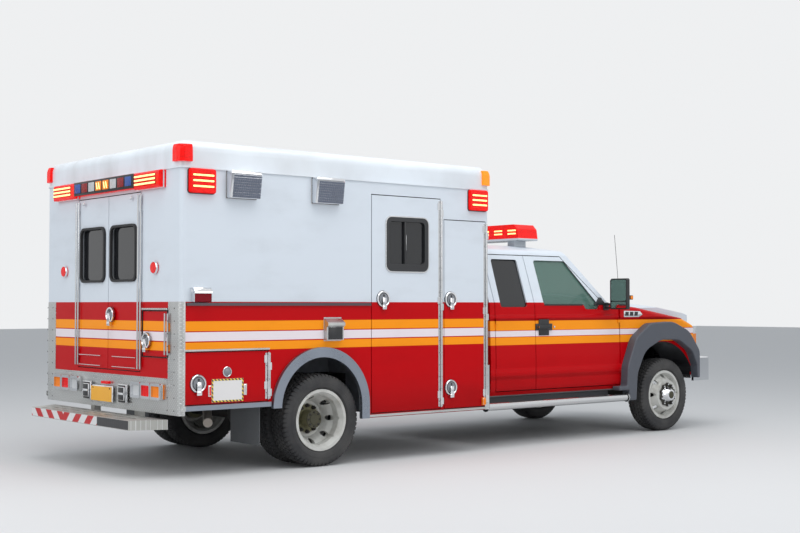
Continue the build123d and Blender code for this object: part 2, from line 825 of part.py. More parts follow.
def cab_door(line, window, hinge_x, way, handle_x):
    skin = cab_solid(0) - cab_solid(cab_wall)
    leaf = skin & side_prism(line, door_side, 0, -door_gap / 2)
    leaf -= side_prism(window, door_side, window_corner)
    inner_edge = sorted((door_split, door_split - way * (door_gap / 2 + door_set_back)))
    leaf -= cab_solid(door_flange) & block(inner_edge, door_side, (door_foot, door_top))
    turn_y = -(cab_half + cab_crown)
    for z in cab_hinge_heights:
        span = (z + running_clearance / 2, z + cab_hinge_length)
        leaf += post(hinge_x, turn_y, span, 3)
        leaf += block(sorted((hinge_x, hinge_x + way * 30)), (turn_y, turn_y + 4), span)
        leaf += block(sorted((hinge_x + way * 4, hinge_x + way * 30)), (turn_y, turn_y + 30), span)
    if handle_x:
        grip = block((handle_x - 95, handle_x + 95), (turn_y - 22, turn_y + 20), handle_height)
        leaf += fillet(grip.edges().filter_by(Axis.X), 10)
    pane = (cab_solid(16) - cab_solid(16 + glass)) & side_prism(window, door_side, window_corner)
    return leaf, pane


# A tall towing mirror on two arms, carried by the door's front corner.
mirror_x = door_front_cut - 275
mirror_reach = 345


def mirror_arm():
    y = -(cab_half - 8)
    arm_x = (mirror_x + 45, mirror_x + 75)
    arms = [block(arm_x, (y - 250, y + 60), (z, z + 20)) - cab_solid(0) for z in (belt - 44, belt - 7)]
    outline = [(mirror_x, y - 115), (mirror_x, y - mirror_reach), (mirror_x + 40, y - mirror_reach),
               (mirror_x + 95, y - mirror_reach + 60), (mirror_x + 95, y - 160), (mirror_x + 60, y - 115)]
    head = plan_prism(outline, (belt - 49, belt + 271), 18)
    head = fillet(head.faces().sort_by(Axis.Z)[-1].edges(), 16)
    return head + arms


# Front fenders, with the wheel housings inside them.
fender_back = door_front_cut + door_gap
fender_front = lamp_back
shoulder = cowl - 19
fender_line = [
    (fender_back, cab_base),
    (fender_back, shoulder),
    (wheelbase - 400, shoulder - 26),
    (wheelbase + 360, shoulder - 144),
    (fender_front, lamp_top + 20),
    (fender_front, bumper_foot + 120),
    (wheelbase + 480, bumper_foot + 40),
]
fender_sheet = 30
fender_seat = fender_sheet + cab_crown + running_clearance
fender_hollow = [
    (door_front_cut - 60, cab_base - 70),
    (door_front_cut - 60, shoulder - fender_sheet),
    (wheelbase - 400, shoulder - 26 - fender_sheet),
    (wheelbase + 360, shoulder - 144 - fender_sheet),
    (fender_front - fender_sheet, lamp_top + 20 - fender_sheet),
    (fender_front - fender_sheet, cab_base - 70),
]
# plan outline of the right-hand corner of the nose, from the grille round to the fender
nose_corner = [
    (wheelbase + 760, grille_half + 7),
    (wheelbase + 720, 880),
    (wheelbase + 650, 975),
    (lamp_back, cab_half - 7),
    (lamp_back, 880),
    (wheelbase + 660, grille_half + 7),
]


def fender():
    outer = side_prism(fender_line, (hood_half + door_gap, cab_half))
    outside = [edge for edge in outer.edges() if edge.center().Y > cab_half - 1]
    outer = fillet([edge for edge in outside if edge.center().Z > lamp_top], 48)
    outer -= side_prism(fender_hollow, (hood_half - 20, cab_half - fender_sheet))
    wheel_room = (700, cab_half + 100)
    outer -= cross_rod(wheelbase, wheel_room, axle_height, arch_clear)
    outer -= block((wheelbase - arch_clear, wheelbase + arch_clear), wheel_room, (0, axle_height))
    housing_y = (640, cab_half - fender_sheet)
    liner_x = (wheelbase - 700, wheelbase + 700)
    liner = cross_rod(wheelbase, housing_y, axle_height, arch_clear + 12)
    liner -= cross_rod(wheelbase, housing_y, axle_height, arch_clear)
    liner -= block(liner_x, housing_y, (-300, axle_height + 60))
    liner -= block((fender_front, liner_x[1]), housing_y, (0, 1400))
    cheek = plan_prism(nose_corner, (bumper_foot + bumper_height + 4, lamp_base - running_clearance))
    return outer + liner + cheek


# Wheel flare: its outline as (from the front axle, height, corner radius).
flare_line = (
    (-815, cab_base, 14), (-815, door_foot - 12, 14), (-690, door_foot - 12, 20), (-675, 720, 120),
    (-540, 1020, 200), (-300, 1170, 200), (80, 1185, 300), (360, 1080, 260), (545, 860, 120),
    (542, 560, 10), (505, 560, 10), (495, 700, 60), (410, 860, 180), (180, 985, 260), (-120, 990, 260),
    (-390, 880, 260), (-520, 640, 200), (-543, 360, 14), (-660, 360, 14), (-660, cab_base, 14),
)


def flare():
    points = [(wheelbase + along, cab_half, height) for along, height, radius in flare_line]
    radii = [radius for along, height, radius in flare_line]
    lip = extrude(loop(points, radii), amount=flare_reach - cab_half, dir=(0, 1, 0))
    return fillet(lip.faces().sort_by(Axis.Y)[-1].edges(), 14)


# The hood's outer form, moved inward by inset and then open below and behind.
def hood_form(inset):
    half = hood_half - inset
    front = hood_front - inset
    open_by = 100 if inset else 0
    rear = hood_rear - open_by / 10
    plan = [(rear, -half), (front - 170, 34 - half), (front, 240 - half),
            (front, half - 240), (front - 170, half - 34), (rear, half)]
    side = (
        # along, height, radius of the corner
        (rear, hood_base - open_by, 0), (rear, cowl + 13 - inset, 0),
        (wheelbase - 120, cowl - 13 - inset, 2500), (wheelbase + 660, cowl - 123 - inset, 500),
        (front, cowl - 235 - inset, 0), (front - 160, cowl - 245 - open_by, 0),
    )
    dome = cowl + 10 - inset
    shoulder_z = cowl - 55 - inset
    section = [(-half, 900), (-half, shoulder_z), (150 - half, dome - 12), (260 - half, dome),
               (half - 260, dome), (half - 150, dome - 12), (half, shoulder_z), (half, 900)]
    form = plan_prism(plan, (900, cowl + 100), 60)
    form &= front_prism(section, (rear, front), 30)
    face = loop([(along, -cab_half, height) for along, height, radius in side],
                [radius for along, height, radius in side])
    return form & extrude(face, amount=2 * cab_half, dir=(0, 1, 0))


def hood():
    panel = hood_form(0) - hood_form(hood_sheet)
    return panel + hood_knuckles(1, hood_rear + 4)


hood_turn_x = hood_rear - door_gap / 2
hood_turn_z = cowl + 7
hood_hinge_y = 600


# Hood hinge halves beside each other on one axis: way is 1 for the hood's and -1 for the cowl's.
def hood_knuckles(way, reach_x):
    parts = []
    for y in (-hood_hinge_y, hood_hinge_y):
        span = sorted((y + way * running_clearance / 2, y + way * 40))
        parts.append(cross_rod(hood_turn_x, span, hood_turn_z, 3.5))
        parts.append(block(sorted((hood_turn_x, reach_x)), span, (cowl - 5, hood_turn_z)))
    return parts


# Grille: a frame with three deep openings, and upright bars in each.
def grille():
    half = grille_half
    front = wheelbase + 825
    outer = plan_prism([(grille_back, half), (front, half - 185), (front, 185 - half), (grille_back, -half)],
                       (720, lamp_top))
    opening_height = 96
    room_y = (65 - half, half - 65)
    for step in range(3):
        base = 760 + step * (opening_height + 30)
        outer -= block((grille_back + 12, front + 100), room_y, (base, base + opening_height))
    bars = [block((front - 60, front - 30), (y - 6, y + 6), (750, lamp_top - 20))
            for y in (step * 86 for step in range(-4, 5))]
    return outer + bars


def headlamps():
    return both(plan_prism(nose_corner, (lamp_base, lamp_top)))


def nose_support():
    back = grille_back - 100
    radiator = block((back, grille_back), (-400, 400), (rail_top, lamp_top - 10))
    return radiator + block((grille_back - 70, grille_back), (-590, 590), (rail_top, rail_top + 60))


# Pressed bumper, carried by the rails, with a lower valance behind its bottom edge.
def front_bumper():
    sheet = 28
    back = lamp_back + 11
    front = bumper_front
    half = cab_half - 5
    shelf = front - 130
    outer = [(back, half), (shelf, half - 10), (front, half - 310), (front, 310 - half), (shelf, 10 - half),
             (back, -half), (back, sheet - half), (shelf - 15, sheet + 12 - half), (front - 40, 330 - half),
             (front - 40, half - 330), (shelf - 15, half - sheet - 12), (back, half - sheet)]
    bar = plan_prism(outer, (bumper_foot, bumper_foot + bumper_height))
    edges = [edge for edge in bar.edges().filter_by(Plane.XY) if edge.center().X > back + 20]
    edges = [edge for edge in edges if edge.center().Z > bumper_foot + bumper_height - 1]
    bar = chamfer(edges, 9)
    for side in (-1, 1):
        y = sorted((side * rail_inner, side * rail_outer))
        bar += block((frame_front, front - 35), y, (rail_bottom + 20, rail_top - 20))
        bar -= block((front - 60, front + 10), sorted((side * 470, side * 560)), (560, 600))
    bar -= block((front - 60, front + 10), (-330, 330), (bumper_foot + 60, bumper_foot + 110))
    return bar


# Running boards: a dark rocker panel with a tube step, on brackets from the rails.
def running_boards():
    tube_y = cab_half + 75
    back = cab_back - 144
    front = door_front_cut + 20
    tube = long_rod((back, front), tube_y, axle_height + 2, 36)
    for x in (back, front - 14):
        tube += long_rod((x, x + 14), tube_y, axle_height + 2, 46)
    for x in (cab_back + 66, cab_back + 866, door_front_cut - 170):
        tube += block((x - 30, x + 30), (rail_outer, tube_y), (axle_height - 12, axle_height + 18))
        tube += block((x - 30, x + 30), (rail_outer, rail_outer + 5), (axle_height - 12, rail_top - 40))
    rocker = block((cab_back, wheelbase - 825), (cab_half - 95, cab_half - 60), (axle_height - 12, cab_base))
    return both(tube + rocker)


def dashboard():
    back = hood_rear - 8 - cab_wall
    face = screen_base - 161
    top = [(face - 140, cowl - 195), (face, cowl - 85), (back, cowl - 55), (back, 900), (face, 900)]
    side = cab_half - cab_wall - 75
    dash = side_prism(top, (-side, side), 25)
    seat_y = 420
    column = Pos(face - 160, seat_y, cowl - 240) * Rot(0, -62, 0) * Cylinder(28, 320)
    rim = Torus(190, 16) + Cylinder(60, 30) + Box(20, 370, 14)
    wheel = Pos(face - 300, seat_y, cowl - 165) * Rot(0, -62, 0) * rim
    return dash + column + wheel


def cab_seats():
    pieces = []
    for side in (-1, 1):
        y = sorted((side * 180, side * 740))
        front = door_split + 626
        top = cab_floor + seat_height
        cushion = block((front - 500, front), y, (cab_floor, top))
        rest = [(front - 560, top), (front - 400, top), (front - 550, top + 650), (front - 660, top + 650)]
        pieces.append(cushion + side_prism(rest, y, 40))
    bench_back = cab_back + cab_wall + 6
    top = cab_floor + seat_height - 30
    rear = block((bench_back + 10, bench_back + 430), (-780, 780), (cab_floor, top))
    rear += side_prism([(bench_back, top), (bench_back + 140, top), (bench_back + 90, top + 500),
                        (bench_back, top + 500)], (-780, 780), 30)
    pieces.append(rear)
    return pieces


def bench():
    side = -(module_half - wall)
    x = (-module_back + wall + 60, 430)
    front = block(x, (side + 560, side + 580), (floor_top, 1180))
    ends = [block((end - 10, end + 10), (side, side + 560), (1050, 1180)) for end in (x[0] + 10, x[1] - 10)]
    cushion = block(x, (side, side + 580), (1180, 1260))
    rest = block(x, (side, side + 60), (1420, 1640))
    seat = block((1150, 1600), (-330, 170), (floor_top, 1280))
    seat += block((1600, 1720), (-330, 170), (floor_top, floor_top + 1078))
    return [cushion + front + ends, rest, seat]


def cabinets():
    side = module_half - wall
    x = (-module_back + wall + 60, 1330)
    depth = side - twin_inner_edge + 45
    counter = block(x, (side - depth, side), (1360, 1395))
    face = block(x, (side - depth, side - depth + 18), (floor_top, 1360))
    upper = block(x, (side - 340, side), (wall_top - 542, wall_top - 62))
    return [counter + face, upper]


# Aluminium trim outside the module.
def ring(side):
    face = sorted((side * module_half, side * (module_half + arch_ring_depth)))
    centre_z = arch_crown - arch_radius
    outer = arch_radius + arch_ring
    band = cross_rod(arch_centre, face, centre_z, outer)
    band += block((arch_centre - outer, arch_centre + outer), face, (0, centre_z))
    lower = block((arch_centre - outer, arch_centre), face, (0, 520))
    lower += block((arch_centre, arch_centre + outer), face, (0, module_skirt))
    inner = cross_rod(arch_centre, face, centre_z, arch_radius)
    inner += block((arch_centre - arch_radius, arch_centre + arch_radius), face, (0, centre_z))
    return band - lower - inner


def body_trim():
    pieces = []
    ring_half = arch_radius + arch_ring + 6
    strips = (
        # along X, how far it stands out, heights
        ((50 - module_back, entry_door[2][0] - 11), 12, (split_height - 31, split_height - 8)),
        ((-module_back, arch_centre - ring_half), 14, (537, 576)),
        ((arch_centre + ring_half, module_front - 50), 14, (392, 412)),
    )
    for side in (-1, 1):
        pieces.append(ring(side))
        for x, depth, z in strips:
            pieces.append(block(x, outward(side, -depth), z))
    node, door_side, x, z, hinge_x = side_doors[2]
    pieces.append(block(shrink(x, -10), outward(-1, -12), (z[1] + 6, z[1] + 20)))
    node, hinge_side, z, hinge_y = rear_doors[2]
    pieces.append(block((-module_back - 14, -module_back), shrink(hinge_side, -6), (z[1] + 8, z[1] + 22)))
    guard = module_shell(3) - module_shell(0)
    for height in hinge_heights(z):
        leaf_y = (hinge_y - hinge_leaf - 3, hinge_y + 10)
        leaf_x = (-module_back - 20, 10 - module_back)
        guard -= block(leaf_x, leaf_y, (height - hinge_length - 3, height + 3))
    corner = block((-module_back - 10, 44 - module_back), (1022, 1300), (kick_plate[0], split_height))
    pieces += [guard & zone for zone in both(corner)]
    pieces.append(block((-module_back - 3, -module_back), (-1020, 1020), kick_plate))
    pieces.append(inlet_box())
    return pieces


# The shore power inlet: a box with a sloping lid.
def inlet_box():
    y = -module_half
    outline = [(y, 1067), (y - 40, 1067), (y - 40, 1180), (y - 62, 1190), (y - 62, 1215), (y, 1256)]
    return front_prism(outline, (1, 181), 5)


def side_lamp(x, z, side, depth):
    lamp = fillet(block(x, outward(side, -depth), z).edges().filter_by(Axis.Y), 20)
    face = lamp.faces().sort_by(Axis.Y)[-1 if side > 0 else 0]
    return chamfer(face.edges(), 8)


# Warning lamps: on the sides, the rear and front walls, round the roof's corners and on the cab.
lamp_band = (wall_top - 195, wall_top - 2)
bar_end = 974
bar_x = (wheelbase - 1790, wheelbase - 1505)
bar_z = (cab_roof + 50, cab_roof + 215)


def warning_lamps():
    pieces = []
    for side in (-1, 1):
        for x in ((63 - module_back, 300 - module_back), (module_front - 268, module_front - 38)):
            pieces.append(side_lamp(x, lamp_band, side, 40))
        end_y = sorted((side * 545, side * bar_end))
        pieces.append(chamfer(block((-module_back - 60, -module_back), end_y, (wall_top - 138, wall_top - 2))
                              .faces().sort_by(Axis.X)[0].edges(), 12))
        pieces.append(block((module_front, module_front + 50), end_y, (wall_top - 162, wall_top - 2)))
    pieces.append(block((-module_back - 45, -module_back), (-544, 544), (wall_top - 122, wall_top - 2)))
    corners = roof_form(26) - roof_form(0)
    for x in ((-module_back - 40, 90 - module_back), (module_front - 90, module_front + 40)):
        for y in ((-module_half - 40, 90 - module_half), (module_half - 90, module_half + 40)):
            pieces.append(corners & block(x, y, (wall_top + 50, roof_height - 40)))
    side = 600
    rise = bar_z[1] - bar_z[0]
    right = [(-side, bar_z[0]), (20 - side, bar_z[0] + rise * 0.7), (70 - side, bar_z[1])]
    left = [(-y, z) for y, z in reversed(right)]
    bar = front_prism(right + left, bar_x, 12)
    feet = [block(shrink(bar_x, 60), sorted((way * 380, way * 480)), (cab_roof - 60, bar_z[0])) - cab_solid(0)
            for way in (-1, 1)]
    pieces.append(bar + feet)
    return pieces


# Floodlights: a bezel with a face that looks down at the ground beside the vehicle.
def scene_lamps():
    pieces = []
    for side in (-1, 1):
        y = [side * module_half, side * (module_half + 90), side * (module_half + 62)]
        outline = [(y[0], wall_top - 220), (y[0], wall_top - 2), (y[1], wall_top - 2), (y[1], wall_top - 22),
                   (y[2], wall_top - 220)]
        for middle in (-829, 12):
            pieces.append(front_prism(outline, (middle - 143, middle + 143), 8))
    return pieces


# Lamps on the kick plate and the posts, markers with hoods on the sides, and the lamp of the number plate.
def tail_lamps():
    pieces = []
    face = -module_back - 3
    for side in (-1, 1):
        for y in (564, 730, 893):
            lamp = block((face - 25, face), sorted((side * (y - 74), side * (y + 74))), (621, 732))
            pieces.append(chamfer(lamp.faces().sort_by(Axis.X)[0].edges(), 10))
        pieces.append(long_rod((-module_back - 30, -module_back), side * 820, 1665, 44))
        y = (side * module_half, side * (module_half + 58))
        hood_line = [(y[0], 1383), (y[1] - side * 12, 1392), (y[1], 1470), (y[0], 1501)]
        pieces.append(front_prism(hood_line, (94 - module_back, 249 - module_back), 6))
    pieces.append(block((face - 30, face), (-60, 60), (700, 722)))
    return pieces


def build():
    os.makedirs("parts", exist_ok=True)
    save("frame_rails", frame_rails())
    save("engine", engine())
    save("axles", *axles())
    save("fuel_tank", fuel_tank())
    save("exhaust", exhaust())
    save("mud_flaps", *mud_flaps())
    save("rear_step", rear_step())
    save("running_boards", *running_boards())
    save("front_bumper", front_bumper())
    save("cab_shell", cab_shell())
    save("windscreen", windscreen())
    save("front_fenders", *both(fender()), nose_support())
    save("wheel_flares", *both(flare()))
    save("grille", grille())
    save("headlamps", *headlamps())
    save("hood", hood())
    save("cab_interior", dashboard(), *cab_seats())
    for name, side in (("right", -1), ("left", 1)):
        save(f"knuckle_{name}", knuckle(side))
        wheel, hub, tyre = front_wheel(side)
        save(f"front_wheel_{name}", wheel, hub)
        save(f"front_tyre_{name}", tyre)
        wheels, tyres = rear_wheels(side)
        save(f"rear_wheels_{name}", *wheels)
        save(f"rear_tyres_{name}", *tyres)
        save(f"module_{name}_wall", side_wall(side))
    front = cab_door(front_door_line, front_window_line, door_front_cut, -1, 2870)
    rear = cab_door(rear_door_line, rear_window_line, door_rear_cut, 1, None)
    arm = mirror_arm()
    for name, turn in (("right", lambda piece: piece), ("left", flip)):
        save(f"cab_door_{name}", turn(front[0]))
        save(f"cab_glass_{name}", turn(front[1]))
        save(f"rear_cab_door_{name}", turn(rear[0]))
        save(f"rear_cab_glass_{name}", turn(rear[1]))
        save(f"mirror_{name}", turn(arm))
    save("module_floor", module_floor())
    save("module_front_wall", front_wall())
    save("module_rear_wall", rear_wall())
    save("module_roof", module_roof())
    for node, side, x, z, hinge_x in side_doors:
        save(node, side_door(node, side, x, z, hinge_x))
    for node, y, z, hinge_y in rear_doors:
        save(node, rear_door(node, y, z, hinge_y))
    pane_y = outward(-1, 24)
    save("entry_glass", side_window((pane_y[0] + 18, pane_y[1])))
    for node in ("rear_door_right", "rear_door_left"):
        pane = rear_window(rear_window_limits(node), (-module_back + 18, -module_back + 24))
        save(node.replace("door", "glass"), pane)
    save("patient_furniture", *bench(), *cabinets())
    save("body_trim", *body_trim())
    save("warning_lamps", *warning_lamps())
    save("scene_lamps", *scene_lamps())
    save("tail_lamps", *tail_lamps())


build()
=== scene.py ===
import bmesh
import bpy
import json
import math
from mathutils import Matrix, Vector


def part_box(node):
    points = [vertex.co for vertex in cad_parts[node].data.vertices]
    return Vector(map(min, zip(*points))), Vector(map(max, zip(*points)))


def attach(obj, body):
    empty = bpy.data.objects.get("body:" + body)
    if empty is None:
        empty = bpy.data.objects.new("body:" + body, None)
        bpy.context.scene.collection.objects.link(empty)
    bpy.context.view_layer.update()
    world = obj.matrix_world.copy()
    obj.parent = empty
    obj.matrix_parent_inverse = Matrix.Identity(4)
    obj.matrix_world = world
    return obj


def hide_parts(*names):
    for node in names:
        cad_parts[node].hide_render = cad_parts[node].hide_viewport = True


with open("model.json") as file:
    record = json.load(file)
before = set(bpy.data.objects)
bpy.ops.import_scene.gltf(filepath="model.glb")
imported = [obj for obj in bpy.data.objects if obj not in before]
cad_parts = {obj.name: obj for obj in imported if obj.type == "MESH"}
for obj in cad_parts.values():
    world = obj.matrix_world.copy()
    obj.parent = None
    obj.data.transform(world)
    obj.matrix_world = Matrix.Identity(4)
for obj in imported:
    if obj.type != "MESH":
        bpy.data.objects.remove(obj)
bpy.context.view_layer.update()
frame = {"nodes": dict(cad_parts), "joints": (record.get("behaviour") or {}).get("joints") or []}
nodes = frame["nodes"]
jointAt = {joint["name"]: Vector(joint["pos_m"]) for joint in frame["joints"]}
sides = {"right": -1, "left": 1}
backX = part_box("module_rear_wall")[0].x
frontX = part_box("module_front_wall")[1].x
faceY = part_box("module_front_wall")[1].y + 0.06  # outer face of the side walls
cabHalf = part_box("front_fenders")[1].y
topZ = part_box("module_roof")[0].z  # top of the module's walls
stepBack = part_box("rear_step")[0].x
rearAxle = jointAt["rear_wheels_right_spin"]
frontAxle = jointAt["front_wheel_right_spin"]
print("frame loaded:", len(nodes), "nodes")


# Places and spans

def at(x):  # a distance ahead of the rear axle, as a place in the frame
    return rearAxle.x + x


def ahead(*distances):
    return tuple(at(x) for x in distances)


def behind(first, second):  # a span behind the rear wall's face
    return (backX - first, backX - second)


def about(middle, half):
    return (middle - half, middle + half)


def grown(span, by):
    return (span[0] - by, span[1] + by)


def across(side, near, far, base=0.0):  # a span on one side of the vehicle, outward of base
    return tuple(sorted((side * (base + near), side * (base + far))))


def toned(color, by):
    return tuple(part * by for part in color)


# Shader values

class Value:  # a shader socket that Python arithmetic can use
    def __init__(self, paint, socket):
        self.paint = paint
        self.socket = socket

    def maths(self, operation, *others):
        return self.paint.node("Math", {"operation": operation}, [self, *others])

    def __rsub__(self, other):
        return self.paint.node("Math", {"operation": "SUBTRACT"}, [other, self])


operations = {
    "__add__": "ADD", "__radd__": "ADD", "__sub__": "SUBTRACT", "__mul__": "MULTIPLY", "__rmul__": "MULTIPLY",
    "__truediv__": "DIVIDE", "__gt__": "GREATER_THAN", "__lt__": "LESS_THAN", "__pow__": "POWER",
    "__abs__": "ABSOLUTE", "fraction": "FRACT", "largest": "MAXIMUM", "smallest": "MINIMUM", "wave": "SINE",
}
for method, operation in operations.items():
    setattr(Value, method, lambda value, *others, kind=operation: value.maths(kind, *others))


class Paint:  # one procedural material
    def __init__(self, name, color, rough=0.5, metal=0.0, **sockets):
        self.material = bpy.data.materials.new(name)
        self.material.use_nodes = True
        self.tree = self.material.node_tree
        self.shader = self.tree.nodes["Principled BSDF"]
        self.put("Base Color", color)
        self.put("Roughness", rough)
        self.put("Metallic", metal)
        for socket, value in sockets.items():
            self.put(socket.replace("_", " "), value)

    def fill(self, socket, value):
        if isinstance(value, Value):
            self.tree.links.new(value.socket, socket)
        elif socket.type == "RGBA":
            socket.default_value = (*value[:3], 1)
        else:
            socket.default_value = value

    def put(self, socket, value):
        self.fill(self.shader.inputs[socket], value)
        return self

    def node(self, kind, settings=None, inputs=(), output=0):
        made = self.tree.nodes.new("ShaderNode" + kind)
        for key, value in (settings or {}).items():
            if key == "stops":
                while len(made.color_ramp.elements) < len(value):
                    made.color_ramp.elements.new(0.5)
                for stop, (where, color) in zip(made.color_ramp.elements, value):
                    stop.position = where
                    stop.color = (*color, 1)
            else:
                setattr(made, key, value)
        pairs = inputs.items() if isinstance(inputs, dict) else enumerate(inputs)
        for key, value in pairs:
            self.fill(made.inputs[key], value)
        return Value(self, made.outputs[output])

    def mix(self, share, first, second):
        return self.node("Mix", {"data_type": "RGBA"}, {0: share, 6: first, 7: second}, 2)

    def tint(self, color, by):
        return self.node("VectorMath", {"operation": "MULTIPLY"}, [color, by])

    def ramp(self, share, *stops):
        return self.node("ValToRGB", {"stops": stops}, [share])

    def coordinates(self):
        place = self.node("TexCoord", output=3)
        return [self.node("SeparateXYZ", None, [place], axis) for axis in range(3)]

    def facing(self):
        normal = self.node("TexCoord", output=1)
        return [self.node("SeparateXYZ", None, [normal], axis) for axis in range(3)]

    def soft(self, value, low, high):  # 0 below low, 1 above high
        return self.node("MapRange", {"interpolation_type": "SMOOTHSTEP"}, [value, low, high, 0.0, 1.0])

    def between(self, value, low, high, blur=0.0015):
        return self.soft(value, low - blur, low + blur) * (1 - self.soft(value, high - blur, high + blur))

    def noise(self, scale, detail=4.0, stretch=(1, 1, 1)):
        place = self.node("TexCoord", output=3)
        spread = self.node("VectorMath", {"operation": "MULTIPLY"}, [place, stretch])
        return self.node("TexNoise", None, {"Vector": spread, "Scale": scale, "Detail": detail})

    def bump(self, height, depth, strength=1.0):
        lifted = self.node("Bump", None, {"Height": height, "Distance": depth, "Strength": strength})
        return self.put("Normal", lifted)


# Finishes

unlit = (0.0, 0.0, 0.0)
amber = (0.85, 0.22, 0.01)
amberGlow = (0.9, 0.26, 0.02)
clear = (0.62, 0.63, 0.64)
lensRed = (0.62, 0.004, 0.004)
proudBy = 0.0005  # what stands out of a wall by more isn't painted with it
coach = {
    "white": (0.66, 0.71, 0.765),
    "red": (0.50, 0.001, 0.004),
    "orange": (0.96, 0.31, 0.012),
    "pale": (0.80, 0.72, 0.75),
    "inside": (0.50, 0.52, 0.54),
    "locker": (0.34, 0.35, 0.36),
    "splitHeight": 1.391,
    "skinDepth": 0.032,
    "lockerDepth": 0.062,
    "lockerInside": 0.70,
    "lockerTop": 2.16,
    "markerX": (1.825, 1.870),
    "markerZ": (0.42, 0.51),
    "creases": ((0.655, 0.725, 0.028), (1.222, 1.262, 0.016)),  # low, high and blur
    "cabInsideTop": 1.30,
    "archX": (4.02, 5.40),
    "hoodLine": (1.275, 4.46, 0.1435),  # height, x ahead of the rear axle there, and fall per metre
    "bands": (("orange", 1.160, 1.237), ("pale", 1.080, 1.152), ("orange", 1.003, 1.071)),
    "cabBands": (("orange", 1.117, 1.209), ("pale", 1.055, 1.112), ("orange", 0.974, 1.049)),
}


def liveried(name, bands, split):
    paint = Paint(name, coach["white"], 0.3, Coat_Weight=0.06, Coat_Roughness=0.06, Specular_IOR_Level=0.08)
    x, y, z = paint.coordinates()
    color = paint.mix(paint.soft(z, split - 0.0015, split + 0.0015), coach["red"], coach["white"])
    for tone, low, high in bands:
        color = paint.mix(paint.between(z, low, high), color, coach[tone])
    mottle = paint.noise(2.2, 5.0, (1, 1, 2.5))
    color = paint.mix(paint.soft(mottle, 0.45, 0.9) * 0.25, color, paint.tint(color, (0.60, 0.58, 0.56)))
    splash = paint.soft(z + mottle * 0.35, 0.98, 0.55)
    color = paint.mix(splash * 0.55, color, paint.tint(color, (0.48, 0.44, 0.40)))
    paint.put("Roughness", 0.26 + mottle * 0.14 + splash * 0.25)
    return paint, color, (x, y, z)


def coachPaint():
    paint, color, (x, y, z) = liveried("coachPaint", coach["bands"], coach["splitHeight"])
    outside = (abs(y) > faceY - coach["skinDepth"]).largest(x < backX + 0.03).largest(x > frontX - 0.03)
    inLocker = paint.between(abs(y), coach["lockerInside"], faceY - coach["lockerDepth"])
    inLocker = inLocker * (x > backX + 0.061) * (x < frontX - 0.061)
    lining = paint.mix(inLocker * (z < coach["lockerTop"]), coach["inside"], coach["locker"])
    marker = (abs(y) > faceY + proudBy) * paint.between(x, *ahead(*coach["markerX"]))
    marker = marker * paint.between(z, *coach["markerZ"])
    proud = (abs(y) > faceY + proudBy).largest(x < backX - proudBy)
    color = paint.mix(proud, paint.mix(outside, lining, color), clear)
    color = paint.mix(marker, color, amber)
    paint.put("Metallic", proud * (1 - marker) * 0.9)
    ripple = paint.noise(1.6, 2.0)
    paint.bump(ripple, 0.004, 0.25)
    return paint.put("Base Color", color).material


def cabPaint():
    paint, color, (x, y, z) = liveried("cabPaint", coach["cabBands"], coach["splitHeight"])
    normalY, normalZ = paint.facing()[1:]
    inward = (y * normalY < -0.0001).largest(normalZ < -0.5)
    lower, upper = (paint.between(z, *crease) for crease in coach["creases"])
    paint.bump(lower + upper, 0.020)
    archStart, archEnd = ahead(*coach["archX"])
    behindSkin = (abs(y) < cabHalf - 0.045) * (z < coach["cabInsideTop"])
    inCab = behindSkin * (x < archStart)
    inArch = (behindSkin * (normalZ < 0.3)).largest(inward) * (x > archStart) * (x < archEnd)
    color = paint.mix(inward.largest(inCab), color, (0.16, 0.16, 0.165))
    color = paint.mix(inArch, color, (0.022, 0.022, 0.024))
    return paint.put("Base Color", color).material


def hoodPaint():
    paint, color, (x, y, z) = liveried("hoodPaint", (), 0.9)
    height, start, fall = coach["hoodLine"]
    edge = height - (x - at(start)) * fall
    color = paint.mix(paint.soft(z - edge, -0.002, 0.002), coach["red"], coach["white"])
    return paint.put("Base Color", color).material


def roofPaint():
    paint = Paint("roofPaint", (0.72, 0.77, 0.82), 0.35, Coat_Weight=0.4)
    stain = paint.noise(1.3, 6.0, (1, 3, 1))
    paint.put("Base Color", paint.ramp(stain, (0.3, (0.60, 0.63, 0.66)), (0.62, (0.74, 0.79, 0.84))))
    return paint.put("Roughness", 0.25 + stain * 0.25).material


def plainPaint(name, color, rough, metal=0.0, grain=40.0, depth=0.0006, spread=0.18, **sockets):
    # a solid colour that clouds a little, with a fine grain
    paint = Paint(name, color, rough, metal, **sockets)
    cloud = paint.noise(grain * 0.06 + 1, 5.0)
    fine = paint.noise(grain, 4.0)
    dark = toned(color, 1 - spread)
    light = tuple(min(1.0, part * (1 + spread)) for part in color)
    paint.put("Base Color", paint.mix(cloud, dark, light))
    paint.put("Roughness", rough + (cloud - 0.5) * 0.2)
    paint.bump(fine, depth, 0.5)
    return paint.material


def brushed(name, color, rough, stretch=(1, 1, 40)):
    paint = Paint(name, color, rough, 1.0)
    lines = paint.noise(60.0, 3.0, stretch)
    cloud = paint.noise(3.0, 4.0)
    paint.put("Base Color", paint.mix(cloud, toned(color, 0.8), color))
    paint.put("Roughness", rough + (lines - 0.5) * 0.15 + (cloud - 0.5) * 0.15)
    paint.bump(lines, 0.0003, 0.3)
    return paint.material


